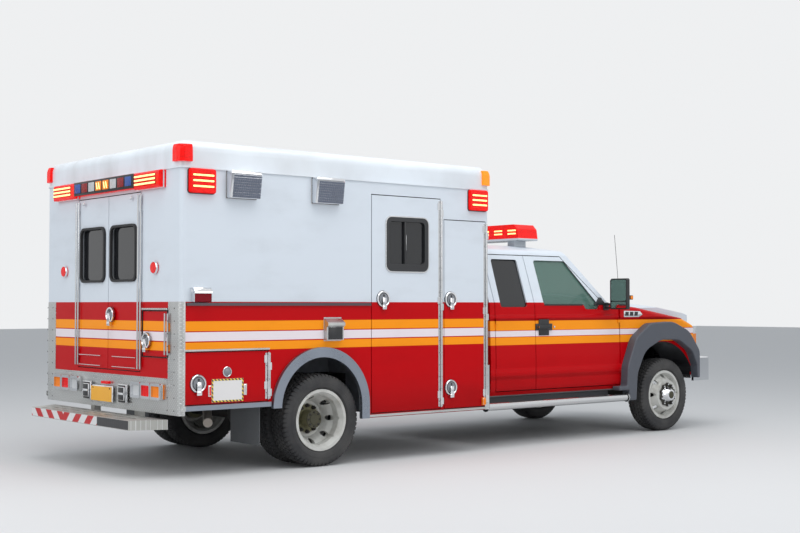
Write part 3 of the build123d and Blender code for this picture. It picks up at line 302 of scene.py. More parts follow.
def plateRelief(name, color, pitch, rough, everywhere):
    # raised lozenges, in turn to the left and to the right
    paint = Paint(name, color, rough, 0.9)
    x, y, z = paint.coordinates()
    across = (x + y) / pitch
    up = (z if not everywhere else x - y) / pitch
    height = None
    for shift, lean in ((0.0, 1), (0.5, -1)):
        p = (across + shift).fraction() - 0.5
        q = (up + shift).fraction() - 0.5
        along = (p + q * lean) / 0.44
        wide = (p - q * lean) / 0.15
        lozenge = 1 - along * along - wide * wide
        height = lozenge.largest(0.0) if height is None else height.largest(lozenge)
    plate = height.smallest(0.5)
    if not everywhere:
        plate = plate * (x < backX + 0.05)
    cloud = paint.noise(4.0, 6.0)
    worn = paint.mix(cloud, toned(color, 0.72), color)
    paint.bump(plate, 0.004)
    return paint, paint.mix(plate, worn, (0.86, 0.87, 0.88)), rough + (cloud - 0.5) * 0.3


trimPlaces = {
    # on the module's sides, x ahead of the rear axle
    "cornerX": -1.338,
    "railZ": 1.30,
    "archMiddle": (-0.030, 0.508),
    "archRadius": (0.40, 0.515),
    "skirt": (-0.5, 0.60),
}


def treadPlate(name, color, pitch):
    # corner plates, with grey arch rings and skirt rails, and the rub rail painted dark as painted shade for
    # the shadow line under it
    paint, worn, rough = plateRelief(name, color, pitch, 0.3, False)
    x, y, z = paint.coordinates()
    outside = (abs(y) > faceY + proudBy) * (x > at(trimPlaces["cornerX"]))
    railShadeMask = outside * (z > trimPlaces["railZ"])
    middleX, middleZ = trimPlaces["archMiddle"]
    within, reach = trimPlaces["archRadius"]
    fromArch = ((x - at(middleX)) ** 2.0 + (z - middleZ) ** 2.0) ** 0.5
    arch = outside * (fromArch < reach) * (fromArch > within)
    skirtX, skirtZ = trimPlaces["skirt"]
    skirt = outside * (x < at(skirtX)) * (z < skirtZ)
    # the rub rail's dark colour is painted shade, standing for the shadow line under the rail
    color = paint.mix(railShadeMask, worn, (0.10, 0.085, 0.095))
    color = paint.mix(arch.largest(skirt), color, (0.26, 0.29, 0.34))
    paint.put("Base Color", color)
    return paint.put("Roughness", rough).material


def boardMetal():
    # a bright tube below a dark rocker panel
    paint = Paint("boardMetal", (0.62, 0.64, 0.66), 0.2, 1.0)
    x, y, z = paint.coordinates()
    rocker = (abs(y) < cabHalf - 0.05) * (abs(y) > cabHalf - 0.10)
    lines = paint.noise(60.0, 3.0, (1, 40, 40))
    tube = paint.mix(lines, (0.50, 0.51, 0.52), (0.78, 0.79, 0.80))
    paint.put("Base Color", paint.mix(rocker, tube, (0.028, 0.03, 0.035)))
    paint.put("Metallic", 1 - rocker)
    paint.put("Roughness", 0.16 + lines * 0.12 + rocker * 0.3)
    return paint.material


stepEdge = {
    "z": (0.389, 0.459),
    "middleY": 0.26,
    "pitch": 0.22,
    "darkEnd": -0.364,
}


def stepPlate():
    # worn treadplate, with the red and white chevrons and the dark end on its rear edge
    paint, worn, rough = plateRelief("stepPlate", (0.52, 0.52, 0.49), 0.034, 0.45, True)
    x, y, z = paint.coordinates()
    low, high = stepEdge["z"]
    edge = (x < stepBack + 0.002) * (z > low) * (z < high)
    lean = ((abs(y - stepEdge["middleY"]) - z) / stepEdge["pitch"]).fraction()
    tape = paint.mix(paint.between(lean, 0.0, 0.5, 0.01), (0.70, 0.70, 0.70), (0.50, 0.004, 0.008))
    scuff = paint.noise(25.0, 5.0)
    tape = paint.mix(paint.soft(scuff, 0.55, 0.8) * 0.5, tape, (0.4, 0.38, 0.36))
    tape = paint.mix(y < stepEdge["darkEnd"], tape, (0.03, 0.03, 0.033))
    paint.put("Base Color", paint.mix(edge, worn, tape))
    paint.put("Metallic", 0.9 - edge * 0.9)
    return paint.put("Roughness", rough).material


def tyreRubber():
    paint = Paint("tyreRubber", (0.035, 0.035, 0.037), 0.75)
    dust = paint.noise(5.0, 6.0)
    grain = paint.noise(160.0, 3.0)
    paint.put("Base Color", paint.ramp(dust, (0.35, (0.022, 0.022, 0.024)), (0.7, (0.062, 0.060, 0.058))))
    paint.put("Roughness", 0.62 + dust * 0.25)
    return paint.bump(grain, 0.0006, 0.5).material


def wheelSteel(name, centre, hubToneAndShade):
    # pale paint with road dust in the well, and a darker ring round the hub: partly the hub's own tone, partly
    # painted shade of the wheel's dished centre
    paint = Paint(name, (0.50, 0.50, 0.47), 0.5, 0.15)
    x, y, z = paint.coordinates()
    across = x - centre.x
    up = z - centre.z
    radius = (across * across + up * up) ** 0.5
    dirt = paint.noise(9.0, 6.0)
    color = paint.mix(paint.soft(dirt, 0.4, 0.75) * 0.45, (0.56, 0.56, 0.53), (0.20, 0.18, 0.15))
    # the ring round the hub mixes the hub's tone with painted shade of the dished centre
    color = paint.mix(1 - paint.soft(radius + dirt * 0.03, 0.128, 0.15), color, hubToneAndShade)
    paint.put("Base Color", color)
    paint.put("Roughness", 0.4 + dirt * 0.3)
    return paint.bump(dirt, 0.001, 0.3).material


def glassPaint(name, color, alpha, rough=0.03):
    paint = Paint(name, color, rough, IOR=1.45, Coat_Weight=0.5, Coat_Roughness=0.02)
    dust = paint.noise(6.0, 5.0)
    paint.put("Alpha", alpha + (dust - 0.5) * 0.06)
    paint.put("Roughness", rough + dust * 0.04)
    return paint.material


def lensPaint(name, color, glow=None, strength=0.0, pitch=0.012, zones=None):
    # moulded lens with fine ribs, lit where glow is given; zones lists (where, color, glow) over it
    paint = Paint(name, color, 0.16, Coat_Weight=0.08, Coat_Roughness=0.03, Specular_IOR_Level=0.12)
    x, y, z = paint.coordinates()
    ribs = ((x + y) * (6.283 / pitch)).wave()
    cloud = paint.noise(30.0, 2.0)
    shade = paint.mix(cloud, toned(color, 0.7), color)
    if glow:
        sparkle = paint.noise(90.0, 1.0)
        light = paint.ramp(sparkle, (0.35, toned(glow, 0.55)), (0.6, glow))
    for where, zoneColor, zoneGlow in (zones(x, y, z) if zones else ()):
        shade = paint.mix(where, shade, zoneColor)
        light = paint.mix(where, light, zoneGlow) if glow else None
    paint.put("Base Color", shade)
    paint.put("Roughness", 0.1 + cloud * 0.08)
    if glow:
        paint.put("Emission Color", light)
        paint.put("Emission Strength", strength)
    return paint.bump(ribs, 0.0012, 0.6).material


def warningZones(x, y, z):
    roofCorner = (x > frontX - 0.12) * (x < frontX + 0.08) * (z > topZ + 0.03)
    barBase = (x > frontX + 0.2) * (z < topZ - 0.387)
    frontWall = (x > frontX + 0.001) * (x < frontX + 0.12) * (z < topZ + 0.03)
    return ((roofCorner, amber, amberGlow), (barBase, (0.60, 0.63, 0.66), unlit),
            (frontWall, (0.30, 0.004, 0.010), unlit))


def tailZones(x, y, z):
    low = z < 0.80
    inner = low * (abs(y) > 0.48) * (abs(y) < 0.647)
    outer = low * (abs(y) > 0.81) * (abs(y) < 0.98)
    beside = (abs(y) > faceY - 0.002) * (z > 1.30)
    return ((inner, clear, unlit), (outer, amber, (0.35, 0.08, 0.005)), (beside, (0.22, 0.004, 0.012), unlit),
            (beside * (z > 1.462), (0.72, 0.73, 0.75), unlit))


def headlampZones(x, y, z):
    return (((abs(y) > 0.90) * (z < 1.045), amber, unlit),)


def weave(name, color, pitch=0.004, sheen=0.3):
    paint = Paint(name, color, 0.85, Sheen_Weight=sheen)
    x, y, z = paint.coordinates()
    warp = ((x + z) * (6.283 / pitch)).wave()
    weft = ((y + z) * (6.283 / pitch)).wave()
    cloud = paint.noise(14.0, 5.0)
    paint.put("Base Color", paint.mix(cloud, toned(color, 0.75), toned(color, 1.2)))
    return paint.bump(warp * weft, 0.0006, 0.6).material


def hazardTape(name, first, second, pitch):
    paint = Paint(name, first, 0.35)
    x, y, z = paint.coordinates()
    stripe = paint.between(((abs(y) + x + z) / pitch).fraction(), 0.0, 0.5, 0.01)
    scuff = paint.noise(25.0, 5.0)
    color = paint.mix(stripe, first, second)
    paint.put("Base Color", paint.mix(paint.soft(scuff, 0.55, 0.8) * 0.5, color, (0.4, 0.38, 0.36)))
    return paint.put("Roughness", 0.3 + scuff * 0.2).material


finish = {
    "coach": coachPaint(),
    "cab": cabPaint(),
    "hood": hoodPaint(),
    "roof": roofPaint(),
    "plate": treadPlate("cornerPlate", (0.60, 0.61, 0.60), 0.030),
    "step": stepPlate(),
    "chrome": plainPaint("chrome", (0.78, 0.79, 0.81), 0.08, 1.0, 12.0, 0.0001, 0.06),
    "frame": plainPaint("chassisBlack", (0.022, 0.022, 0.024), 0.55, 0.1, 60.0, 0.0008, 0.4),
    "iron": plainPaint("castIron", (0.045, 0.042, 0.040), 0.75, 0.4, 90.0, 0.0015, 0.4),
    "exhaust": plainPaint("exhaustSteel", (0.30, 0.27, 0.24), 0.5, 0.8, 40.0, 0.0008, 0.35),
    "rubber": plainPaint("sealRubber", (0.020, 0.020, 0.021), 0.7, 0.0, 120.0, 0.0004, 0.2),
    "flap": plainPaint("flapRubber", (0.10, 0.105, 0.11), 0.75, 0.0, 40.0, 0.0015, 0.3),
    "flare": plainPaint("flarePlastic", (0.075, 0.082, 0.10), 0.55, 0.0, 260.0, 0.0006, 0.12),
    "plastic": plainPaint("blackPlastic", (0.016, 0.017, 0.019), 0.42, 0.0, 240.0, 0.0004, 0.15),
    "dash": plainPaint("dashPlastic", (0.055, 0.055, 0.058), 0.6, 0.0, 300.0, 0.0005, 0.1),
    "laminate": plainPaint("cabinetLaminate", (0.56, 0.57, 0.58), 0.35, 0.0, 30.0, 0.0002, 0.06),
    "floor": plainPaint("speckledVinyl", (0.17, 0.18, 0.20), 0.5, 0.0, 260.0, 0.0003, 0.35),
    "tyre": tyreRubber(),
    "frontWheel": wheelSteel("frontWheelSteel", frontAxle, (0.035, 0.036, 0.026)),
    "rearWheel": wheelSteel("rearWheelSteel", rearAxle, (0.16, 0.15, 0.08)),
    "greenGlass": glassPaint("greenGlass", (0.10, 0.20, 0.165), 0.62),
    "darkGlass": glassPaint("darkGlass", (0.012, 0.013, 0.015), 0.93),
    "redLens": lensPaint("redLens", lensRed, (1.0, 0.006, 0.003), 0.5),
    "warningLens": lensPaint("warningLens", lensRed, (1.0, 0.006, 0.003), 0.55, zones=warningZones),
    "tailLens": lensPaint("tailLens", (0.60, 0.003, 0.006), (1.0, 0.006, 0.006), 0.35, zones=tailZones),
    "headlampLens": lensPaint("headlampLens", (0.66, 0.68, 0.70), pitch=0.03, zones=headlampZones),
    "board": boardMetal(),
    "dullRed": lensPaint("dullRedLens", (0.30, 0.004, 0.010)),
    "amberLens": lensPaint("amberLens", amber, (1.0, 0.30, 0.02), 0.25),
    "blueLens": lensPaint("blueLens", (0.03, 0.10, 0.40)),
    "clearLens": lensPaint("clearLens", clear),
    "litBars": lensPaint("litLamps", (1.0, 0.75, 0.35), (1.0, 0.62, 0.18), 2.2, 0.02),
    "sceneLens": lensPaint("sceneLens", (0.17, 0.19, 0.24), pitch=0.020),
    "fabric": weave("seatCloth", (0.075, 0.078, 0.085)),
    "vinyl": plainPaint("cushionVinyl", (0.05, 0.10, 0.20), 0.42, 0.0, 220.0, 0.0005, 0.12),
    "hazard": hazardTape("hazardEdge", (0.02, 0.02, 0.02), (0.85, 0.60, 0.03), 0.032),
    "blankPlate": plainPaint("blankPlate", (0.74, 0.72, 0.71), 0.4, 0.0, 20.0, 0.0002, 0.05),
    "brightSteel": brushed("brightSteel", (0.70, 0.71, 0.72), 0.22),
    "hubDark": plainPaint("hubOlive", (0.055, 0.052, 0.030), 0.55, 0.3, 60.0, 0.0010, 0.35),
    "mirrorGlass": plainPaint("mirrorGlass", (0.70, 0.72, 0.74), 0.03, 1.0, 4.0, 0.00001, 0.03),
    "lampGrey": plainPaint("lampGrey", (0.22, 0.23, 0.25), 0.35, 0.2, 60.0, 0.0004, 0.2),
    "lampBowl": plainPaint("lampBowl", (0.62, 0.63, 0.65), 0.12, 0.9, 40.0, 0.0003, 0.15),
    "cabinetDoor": plainPaint("cabinetDoorFace", (0.40, 0.43, 0.47), 0.32, 0.0, 30.0, 0.0002, 0.06),
    "yellowPlate": plainPaint("yellowPlate", (0.86, 0.42, 0.03), 0.4, 0.0, 20.0, 0.0002, 0.06),
}
nodeFinish = {
    # the nodes of each finish; a star stands for right and left
    "coach": "module_*_wall module_front_wall module_rear_wall entry_door front_locker_door_* "
             "rear_locker_door_* middle_locker_door_left rear_door_* corner_locker_door",
    "cab": "cab_shell cab_door_* rear_cab_door_* front_fenders",
    "hood": "hood",
    "roof": "module_roof",
    "plate": "body_trim",
    "step": "rear_step",
    "chrome": "front_bumper grille",
    "board": "running_boards",
    "frame": "frame_rails fuel_tank",
    "iron": "engine axles knuckle_*",
    "exhaust": "exhaust",
    "flap": "mud_flaps",
    "flare": "wheel_flares",
    "plastic": "mirror_*",
    "dash": "cab_interior",
    "laminate": "patient_furniture",
    "floor": "module_floor",
    "tyre": "front_tyre_* rear_tyres_*",
    "frontWheel": "front_wheel_*",
    "rearWheel": "rear_wheels_*",
    "greenGlass": "windscreen cab_glass_*",
    "darkGlass": "rear_cab_glass_* entry_glass rear_glass_*",
    "warningLens": "warning_lamps",
    "tailLens": "tail_lamps",
    "sceneLens": "scene_lamps",
    "headlampLens": "headlamps",
}
for name, members in nodeFinish.items():
    for member in members.split():
        for side in (sides if "*" in member else [""]):
            paints = nodes[member.replace("*", side)].data.materials
            paints.clear()
            paints.append(finish[name])
print("finishes:", len(finish))


# Forms

def place(axis, first, second, along):  # a point of an outline drawn across that axis
    if axis == "x":
        return (along, first, second)
    return (first, along, second) if axis == "y" else (first, second, along)


def rounded(first, second, radius, steps=5):
    points = []
    for u, v, turn in ((1, 0, -90), (1, 1, 0), (0, 1, 90), (0, 0, 180)):
        middle = (first[u] + (-radius if u else radius), second[v] + (-radius if v else radius))
        for step in range(steps + 1):
            angle = math.radians(turn + 90 * step / steps)
            points.append((middle[0] + radius * math.cos(angle), middle[1] + radius * math.sin(angle)))
    return points


def bend(points, radius, steps=6):  # a line of points with its corners rounded
    points = [Vector(point) for point in points]
    line = [points[0]]
    for before, corner, after in zip(points, points[1:], points[2:]):
        entry = corner + (before - corner).normalized() * radius
        leave = corner + (after - corner).normalized() * radius
        for step in range(steps + 1):
            share = step / steps
            line.append(entry.lerp(corner, share).lerp(corner.lerp(leave, share), share))
    return line + [points[-1]]


def shown(name, data):  # an object with that data, in the scene
    thing = bpy.data.objects.new(name, data)
    bpy.context.scene.collection.objects.link(thing)
    return thing


class Form:  # a mesh made of boxes, prisms, turned bodies and tubes, in named finishes; bevels take the first
    def __init__(self, name, body, *paints):
        self.name = name
        self.body = body
        self.paints = paints
        self.tone = 0
        self.mesh = bmesh.new()

    def use(self, paint):
        self.tone = self.paints.index(paint)
        return self

    def add(self, points, faces, bevel=0.0, steps=2):
        corners = [self.mesh.verts.new(point) for point in points]
        made = [self.mesh.faces.new([corners[index] for index in face]) for face in faces]
        for face in made:
            face.material_index = self.tone
        if bevel:
            edges = list({edge for face in made for edge in face.edges})
            bmesh.ops.bevel(self.mesh, geom=edges, offset=bevel, segments=steps, affect="EDGES",
                            profile=0.5, clamp_overlap=True)
        return self

    def prism(self, axis, outline, low, high, bevel=0.0, steps=2):
        count = len(outline)
        points = [place(axis, u, v, along) for along in (low, high) for u, v in outline]
        faces = [tuple(range(count)), tuple(range(2 * count - 1, count - 1, -1))]
        faces += [(k, (k + 1) % count, (k + 1) % count + count, k + count) for k in range(count)]
        return self.add(points, faces, bevel, steps)

    def box(self, x, y, z, bevel=0.0, steps=2):
        x, y, z = sorted(x), sorted(y), sorted(z)
        corners = [(x[0], y[0]), (x[1], y[0]), (x[1], y[1]), (x[0], y[1])]
        return self.prism("z", corners, z[0], z[1], bevel, steps)

    def boxes(self, *rows):
        # each is a finish, x ahead of the rear axle, y, z, and the bevel with its steps
        for paint, x, y, z, *bevel in rows:
            self.use(paint).box(ahead(*x), y, z, *bevel)
        return self

    def ring(self, axis, outer, inner, low, high):
        count = len(outer)
        points = [place(axis, u, v, along) for along in (low, high) for line in (outer, inner) for u,
                  v in line]
        faces = []
        for k in range(count):
            n = (k + 1) % count
            for a, b in ((0, 1), (1, 3), (3, 2), (2, 0)):
                faces.append((k + a * count, n + a * count, n + b * count, k + b * count))
        return self.add(points, faces)

    def rim(self, axis, first, second, outer, inner, low, high):
        # a ring along two spans; outer and inner are (how far the spans grow, corner radius)
        outlines = [rounded(grown(first, by), grown(second, by), radius) for by, radius in (outer, inner)]
        return self.ring(axis, *outlines, low, high)

    def lathe(self, profile, centre, way, steps=32):
        spin = Vector(way).to_track_quat("Z", "Y")
        points = []
        rings = []
        for along, radius in profile:
            count = steps if radius > 1e-5 else 1
            rings.append(range(len(points), len(points) + count))
            for step in range(count):
                angle = 2 * math.pi * step / steps
                spot = Vector((radius * math.cos(angle), radius * math.sin(angle), along))
                points.append(Vector(centre) + spin @ spot)
        faces = []
        for first, second in zip(rings, rings[1:]):
            for k in range(steps):
                n = (k + 1) % steps
                corners = [first[k % len(first)], first[n % len(first)], second[n % len(second)],
                           second[k % len(second)]]
                kept = list(dict.fromkeys(corners))
                if len(kept) > 2:
                    faces.append(kept)
        return self.add(points, faces)

    def rod(self, start, end, radius, steps=14):
        length = (Vector(end) - Vector(start)).length
        edge = min(radius, length) * 0.15
        profile = [(0, 0), (0, radius - edge), (edge, radius), (length - edge, radius),
                   (length, radius - edge),
                   (length, 0)]
        return self.lathe(profile, start, Vector(end) - Vector(start), steps)

    def nut(self, centre, way, across, height):
        profile = [(0, across), (height * 0.8, across), (height, across * 0.86), (height, 0)]
        return self.lathe(profile, centre, way, 6)

    def tube(self, line, radius, steps=10):
        line = [Vector(point) for point in line]
        side = None
        points = []
        for index, point in enumerate(line):
            ahead = line[min(index + 1, len(line) - 1)] - line[max(index - 1, 0)]
            ahead.normalize()
            side = ahead.orthogonal() if side is None else side - ahead * side.dot(ahead)
            side.normalize()
            other = ahead.cross(side)
            for step in range(steps):
                angle = 2 * math.pi * step / steps
                points.append(point + side * radius * math.cos(angle) + other * radius * math.sin(angle))
        last = len(line) - 1
        faces = [tuple(range(steps)), tuple(last * steps + k for k in reversed(range(steps)))]
        for index in range(last):
            for k in range(steps):
                n = (k + 1) % steps
                base = index * steps
                faces.append((base + k, base + n, base + steps + n, base + steps + k))
        return self.add(points, faces)

    def cushion(self, centre, half, spin=None, soft=(0.42, 0.24), seams=(), steps=(20, 56)):
        # a stuffed form with a full crown; seams are (axis, place, depth) lines that pull its cover in
        spin = spin or Matrix.Identity(3)
        rows, columns = steps

        def bulge(value, power):
            return math.copysign(abs(value) ** power, value)

        points = []
        for row in range(rows + 1):
            up = -math.pi / 2 + math.pi * row / rows
            for column in range(columns):
                turn = 2 * math.pi * column / columns
                x = bulge(math.cos(up), soft[0]) * bulge(math.cos(turn), soft[1])
                y = bulge(math.cos(up), soft[0]) * bulge(math.sin(turn), soft[1])
                z = bulge(math.sin(up), soft[0])
                crown = 1 + 0.10 * (1 - x * x) * (1 - y * y) - 0.05
                spot = Vector((x * half[0], y * half[1], z * half[2] * crown))
                for axis, where, depth in seams:
                    near = (spot[axis] - where) / 0.012
                    spot.z -= math.copysign(depth * math.exp(-near * near), spot.z)
                spot.z += 0.0016 * math.sin(spot.x * 41 + spot.y * 23) * (1 - z * z * 0.4)
                points.append(Vector(centre) + spin @ spot)
        faces = []
        for row in range(rows):
            for column in range(columns):
                n = (column + 1) % columns
                faces.append((row * columns + column, row * columns + n, (row + 1) * columns + n,
                              (row + 1) * columns + column))
        self.add(points, faces)
        rim = []
        for column in range(65):
            turn = 2 * math.pi * column / 64
            x = half[0] * bulge(math.cos(turn), soft[1]) * 1.002
            y = half[1] * bulge(math.sin(turn), soft[1]) * 1.002
            rim.append(Vector(centre) + spin @ Vector((x, y, half[2] * 0.25)))
        return self.tube(rim, 0.005, 6)

    def done(self, replaced=(), angle=35):
        bmesh.ops.remove_doubles(self.mesh, verts=self.mesh.verts, dist=1e-6)
        bmesh.ops.recalc_face_normals(self.mesh, faces=self.mesh.faces)
        data = bpy.data.meshes.new(self.name)
        self.mesh.to_mesh(data)
        self.mesh.free()
        data.shade_smooth()
        data.set_sharp_from_angle(angle=math.radians(angle))
        for paint in self.paints:
            data.materials.append(finish[paint])
        piece = shown(self.name, data)
        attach(piece, self.body)
        if replaced:
            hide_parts(*replaced)
        return piece


# Tyres with tread, and what stands on the wheels

tread = {
    "pitches": 60,
    "lean": 3.0,  # of the slots, in pitches per metre
    "slots": ((0.0, 1), (0.26, 1), (0.29, 0), (0.97, 0)),  # places in a pitch, and whether they lie low
    # outboard, radius, depth of the cross slots there, shift of the slots in pitches
    "profile": (
        (0.083, 0.248, 0, 0), (0.083, 0.2635, 0, 0), (0.093, 0.268, 0, 0), (0.106, 0.280, 0, 0),
        (0.1125, 0.300, 0, 0), (0.1118, 0.312, 0, 0), (0.1128, 0.3135, 0, 0), (0.1128, 0.3165, 0, 0),
        (0.1112, 0.318, 0, 0),
        (0.1085, 0.345, 0, 0), (0.1045, 0.361, 0.002, 0), (0.099, 0.373, 0.007, 0),
        (0.0925, 0.3825, 0.009, 0),
        (0.088, 0.3862, 0.009, 0), (0.064, 0.3895, 0.009, 0), (0.0625, 0.379, 0, 0), (0.0565, 0.379, 0, 0),
        (0.055, 0.3902, 0.006, 0.5), (0.024, 0.3916, 0.006, 0.5), (0.0225, 0.380, 0, 0),
        (0.0165, 0.380, 0, 0),
        (0.015, 0.3918, 0.004, 0),
    ),
}


def treadedTyre(form, centre, way):
    # the slots are cut by lowering the rings' points between two places of each pitch
    half = tread["profile"]
    mirrored = tuple((-out, radius, depth, shift + 0.25) for out, radius, depth, shift in reversed(half))
    profile = half + mirrored
    turns = [(pitch + spot, low) for pitch in range(tread["pitches"]) for spot, low in tread["slots"]]
    points = []
    for out, radius, depth, shift in profile:
        for turn, low in turns:
            slanted = turn + (shift + out * way * tread["lean"] if depth else 0)
            angle = 2 * math.pi * slanted / tread["pitches"]
            reach = radius - depth * low
            points.append(centre + Vector((reach * math.cos(angle), way * out, reach * math.sin(angle))))
    count = len(turns)
    faces = []
    for row in range(len(profile)):
        after = (row + 1) % len(profile)
        for k in range(count):
            n = (k + 1) % count
            faces.append((row * count + k, row * count + n, after * count + n, after * count + k))
    form.add(points, faces)


wheelset = {
    "twinHalf": 0.131,
    "frontDisc": 0.131,
    "rearDisc": 0.012,
    "hubEnd": 0.118,
    "nuts": (0.1125, 10, 0.5),  # circle's radius, how many, turn in pitches
    "hubBolts": (0.060, 8, 0.0),
    "frontNutCap": ((0.019, 0.009), (0.027, 0.008), (0.028, 0)),
    "rearNutCap": ((0.019, 0.010), (0.038, 0.009), (0.039, 0)),
    "hubCone": ((-0.001, 0.086), (0.006, 0.0862), (0.012, 0.082), (0.020, 0.0775), (0.042, 0.070),
                (0.061, 0.058),
                (0.0625, 0.052), (0.0625, 0.040), (0.057, 0.038)),
    "hubCentre": ((0.0605, 0.0405), (0.0665, 0.036), (0.068, 0.022), (0.068, 0)),
    "hubCap": ((-0.004, 0.0765), (0.003, 0.0765), (0.005, 0.074), (0.005, 0.046), (0.009, 0.044),
               (0.010, 0.030),
               (0.008, 0.0)),
}


def boltCircle(centre, radius, count, turn):
    for step in range(count):
        angle = 2 * math.pi * (step + turn) / count
        yield centre + Vector((math.cos(angle), 0, math.sin(angle))) * radius


def wheelNuts(form, face, out, cap, capPaint):
    for spot in boltCircle(face, *wheelset["nuts"]):
        form.use("iron").nut(spot, out, 0.0185, 0.020)
        form.use(capPaint).lathe(cap, spot, out, 10)


def frontWheelParts(name, side):
    centre = jointAt["front_wheel_%s_spin" % name]
    out = (0, side, 0)
    tyre = Form("treadedTyre_front_" + name, "front_wheel_" + name, "tyre")
    treadedTyre(tyre, centre, side)
    tyre.done(["front_tyre_" + name], 28)
    fittings = Form("hubFittings_front_" + name, "front_wheel_" + name, "chrome", "iron", "hubDark", "rubber")
    face = centre + Vector((0, side * wheelset["frontDisc"], 0))
    wheelNuts(fittings, face, out, wheelset["frontNutCap"], "chrome")
    fittings.use("chrome").lathe(wheelset["hubCone"], face, out, 48)
    fittings.use("hubDark").lathe(wheelset["hubCentre"], face, out, 32)
    stem = face + Vector((0.176, -side * 0.020, 0.02))
    fittings.use("rubber").rod(stem, stem + Vector((-0.03, side * 0.035, 0)), 0.005, 8)
    fittings.done()


def rearWheelParts(name, side):
    middle = jointAt["rear_wheels_%s_spin" % name]
    out = (0, side, 0)
    tyres = Form("treadedTyres_rear_" + name, "rear_wheels_" + name, "tyre")
    for shift in (-1, 1):
        treadedTyre(tyres, middle + Vector((0, shift * wheelset["twinHalf"], 0)), side * shift)
    tyres.done(["rear_tyres_" + name], 28)
    fittings = Form("hubFittings_rear_" + name, "rear_wheels_" + name, "iron", "hubDark", "rubber")
    face = middle + Vector((0, side * wheelset["rearDisc"], 0))
    wheelNuts(fittings, face, out, wheelset["rearNutCap"], "iron")
    hubEnd = middle + Vector((0, side * wheelset["hubEnd"], 0))
    fittings.use("hubDark").lathe(wheelset["hubCap"], hubEnd, out, 48)
    for spot in boltCircle(hubEnd, *wheelset["hubBolts"]):
        fittings.use("iron").nut(spot + Vector((0, side * 0.005, 0)), out, 0.0085, 0.008)
    stem = middle + Vector((0.14, side * 0.05, 0.12))
    line = [stem, stem + Vector((0.01, side * 0.05, 0)), stem + Vector((0.035, side * 0.085, 0.02))]
    fittings.use("rubber").tube(bend(line, 0.02), 0.0045, 8)
    fittings.done()


for name, side in sides.items():
    frontWheelParts(name, side)
    rearWheelParts(name, side)
print("wheels and tyres")


# Latches, hinge strips and seals of the module's doors

doorSpecs = {
    # body: side, x ahead of the rear axle, z, places of the latches
    "entry_door": (-1, (0.514, 1.318), (0.422, 2.333), ((0.643, 1.419),)),
    "front_locker_door_right": (-1, (1.361, 1.884), (0.417, 2.147), ((1.440, 1.416), (1.440, 0.611))),
    "rear_locker_door_right": (-1, (-1.350, -0.566), (0.581, 0.996), ((-1.224, 0.748),)),
    "front_locker_door_left": (1, (1.361, 1.884), (0.417, 2.147), ((1.440, 1.416), (1.440, 0.611))),
    "middle_locker_door_left": (1, (0.545, 1.300), (0.417, 1.330), ((0.625, 1.110),)),
    "rear_locker_door_left": (1, (-1.350, -0.566), (0.581, 1.330), ((-1.224, 0.990),)),
}
rearSpecs = {
    # body: y, z, place of the latch, hinge's y, way from it to the door's middle
    "rear_door_right": ((-0.566, 0.0), (0.822, 2.290), (-0.075, 1.284), -0.566, 1),
    "rear_door_left": ((0.0, 0.566), (0.822, 2.290), None, 0.566, -1),
    "corner_locker_door": ((-1.014, -0.608), (0.950, 1.319), (-0.700, 1.079), -1.014, 1),
}
fitting = {
    "sideLatch": 0.071,  # radius
    "rearLatch": 0.064,
    "sideStrip": (0.005, 0.026),  # from the hinge line
    "rearStrip": (0.012, 0.033),
    "stripInset": 0.02,
    "screwPitch": 0.11,
    "sealDepth": 0.036,
}
hardwarePaints = ("chrome", "plastic", "brightSteel", "iron", "lampGrey")


def latch(form, spot, way, radius):
    # a round pressed dish on a dark gasket, with a bevelled rim and a folding lever
    form.use("plastic").lathe([(-0.001, radius + 0.003), (0.002, radius + 0.003), (0.002, 0)], spot, way, 48)
    rim = [(0.001, radius), (0.012, radius), (0.0165, radius - 0.004), (0.0165, radius - 0.010),
           (0.0125, radius - 0.014), (0.0125, 0)]
    form.use("chrome").lathe(rim, spot, way, 48)
    groove = [(0.0125, radius - 0.016), (0.0138, radius - 0.0165), (0.0138, radius - 0.0225),
              (0.0125, radius - 0.023)]
    form.use("plastic").lathe(groove, spot, way, 48)
    dish = [(0.0128, radius - 0.023), (0.0136, radius - 0.024), (0.0136, 0)]
    form.use("lampGrey").lathe(dish, spot, way, 48)
    spot = Vector(spot)
    way = Vector(way)
    sideways = Vector((0, 0, 1)).cross(way)
    lever = ((-0.070, 0.012, 0.0200, 0.0235, 0.004), (-0.092, -0.058, 0.0230, 0.021, 0.007))
    for low, high, half, out, thick in lever:
        ends = [(a, b, c) for a in (-half, half) for b in (low, high) for c in (out - 0.016, out + thick)]
        corners = [spot + sideways * a + Vector((0, 0, b)) + way * c for a, b, c in ends]
        form.use("chrome").box(*((min(line), max(line)) for line in zip(*corners)), 0.003, 2)
    pivot = spot + Vector((0, 0, 0.030))
    form.use("plastic").lathe([(0.0125, 0.011), (0.0150, 0.010), (0.0150, 0)], pivot, way, 16)


def sealRing(axis, first, second, low, high):
    seals.rim(axis, first, second, (0.004, 0.003), (0.001, 0.001), low, high)


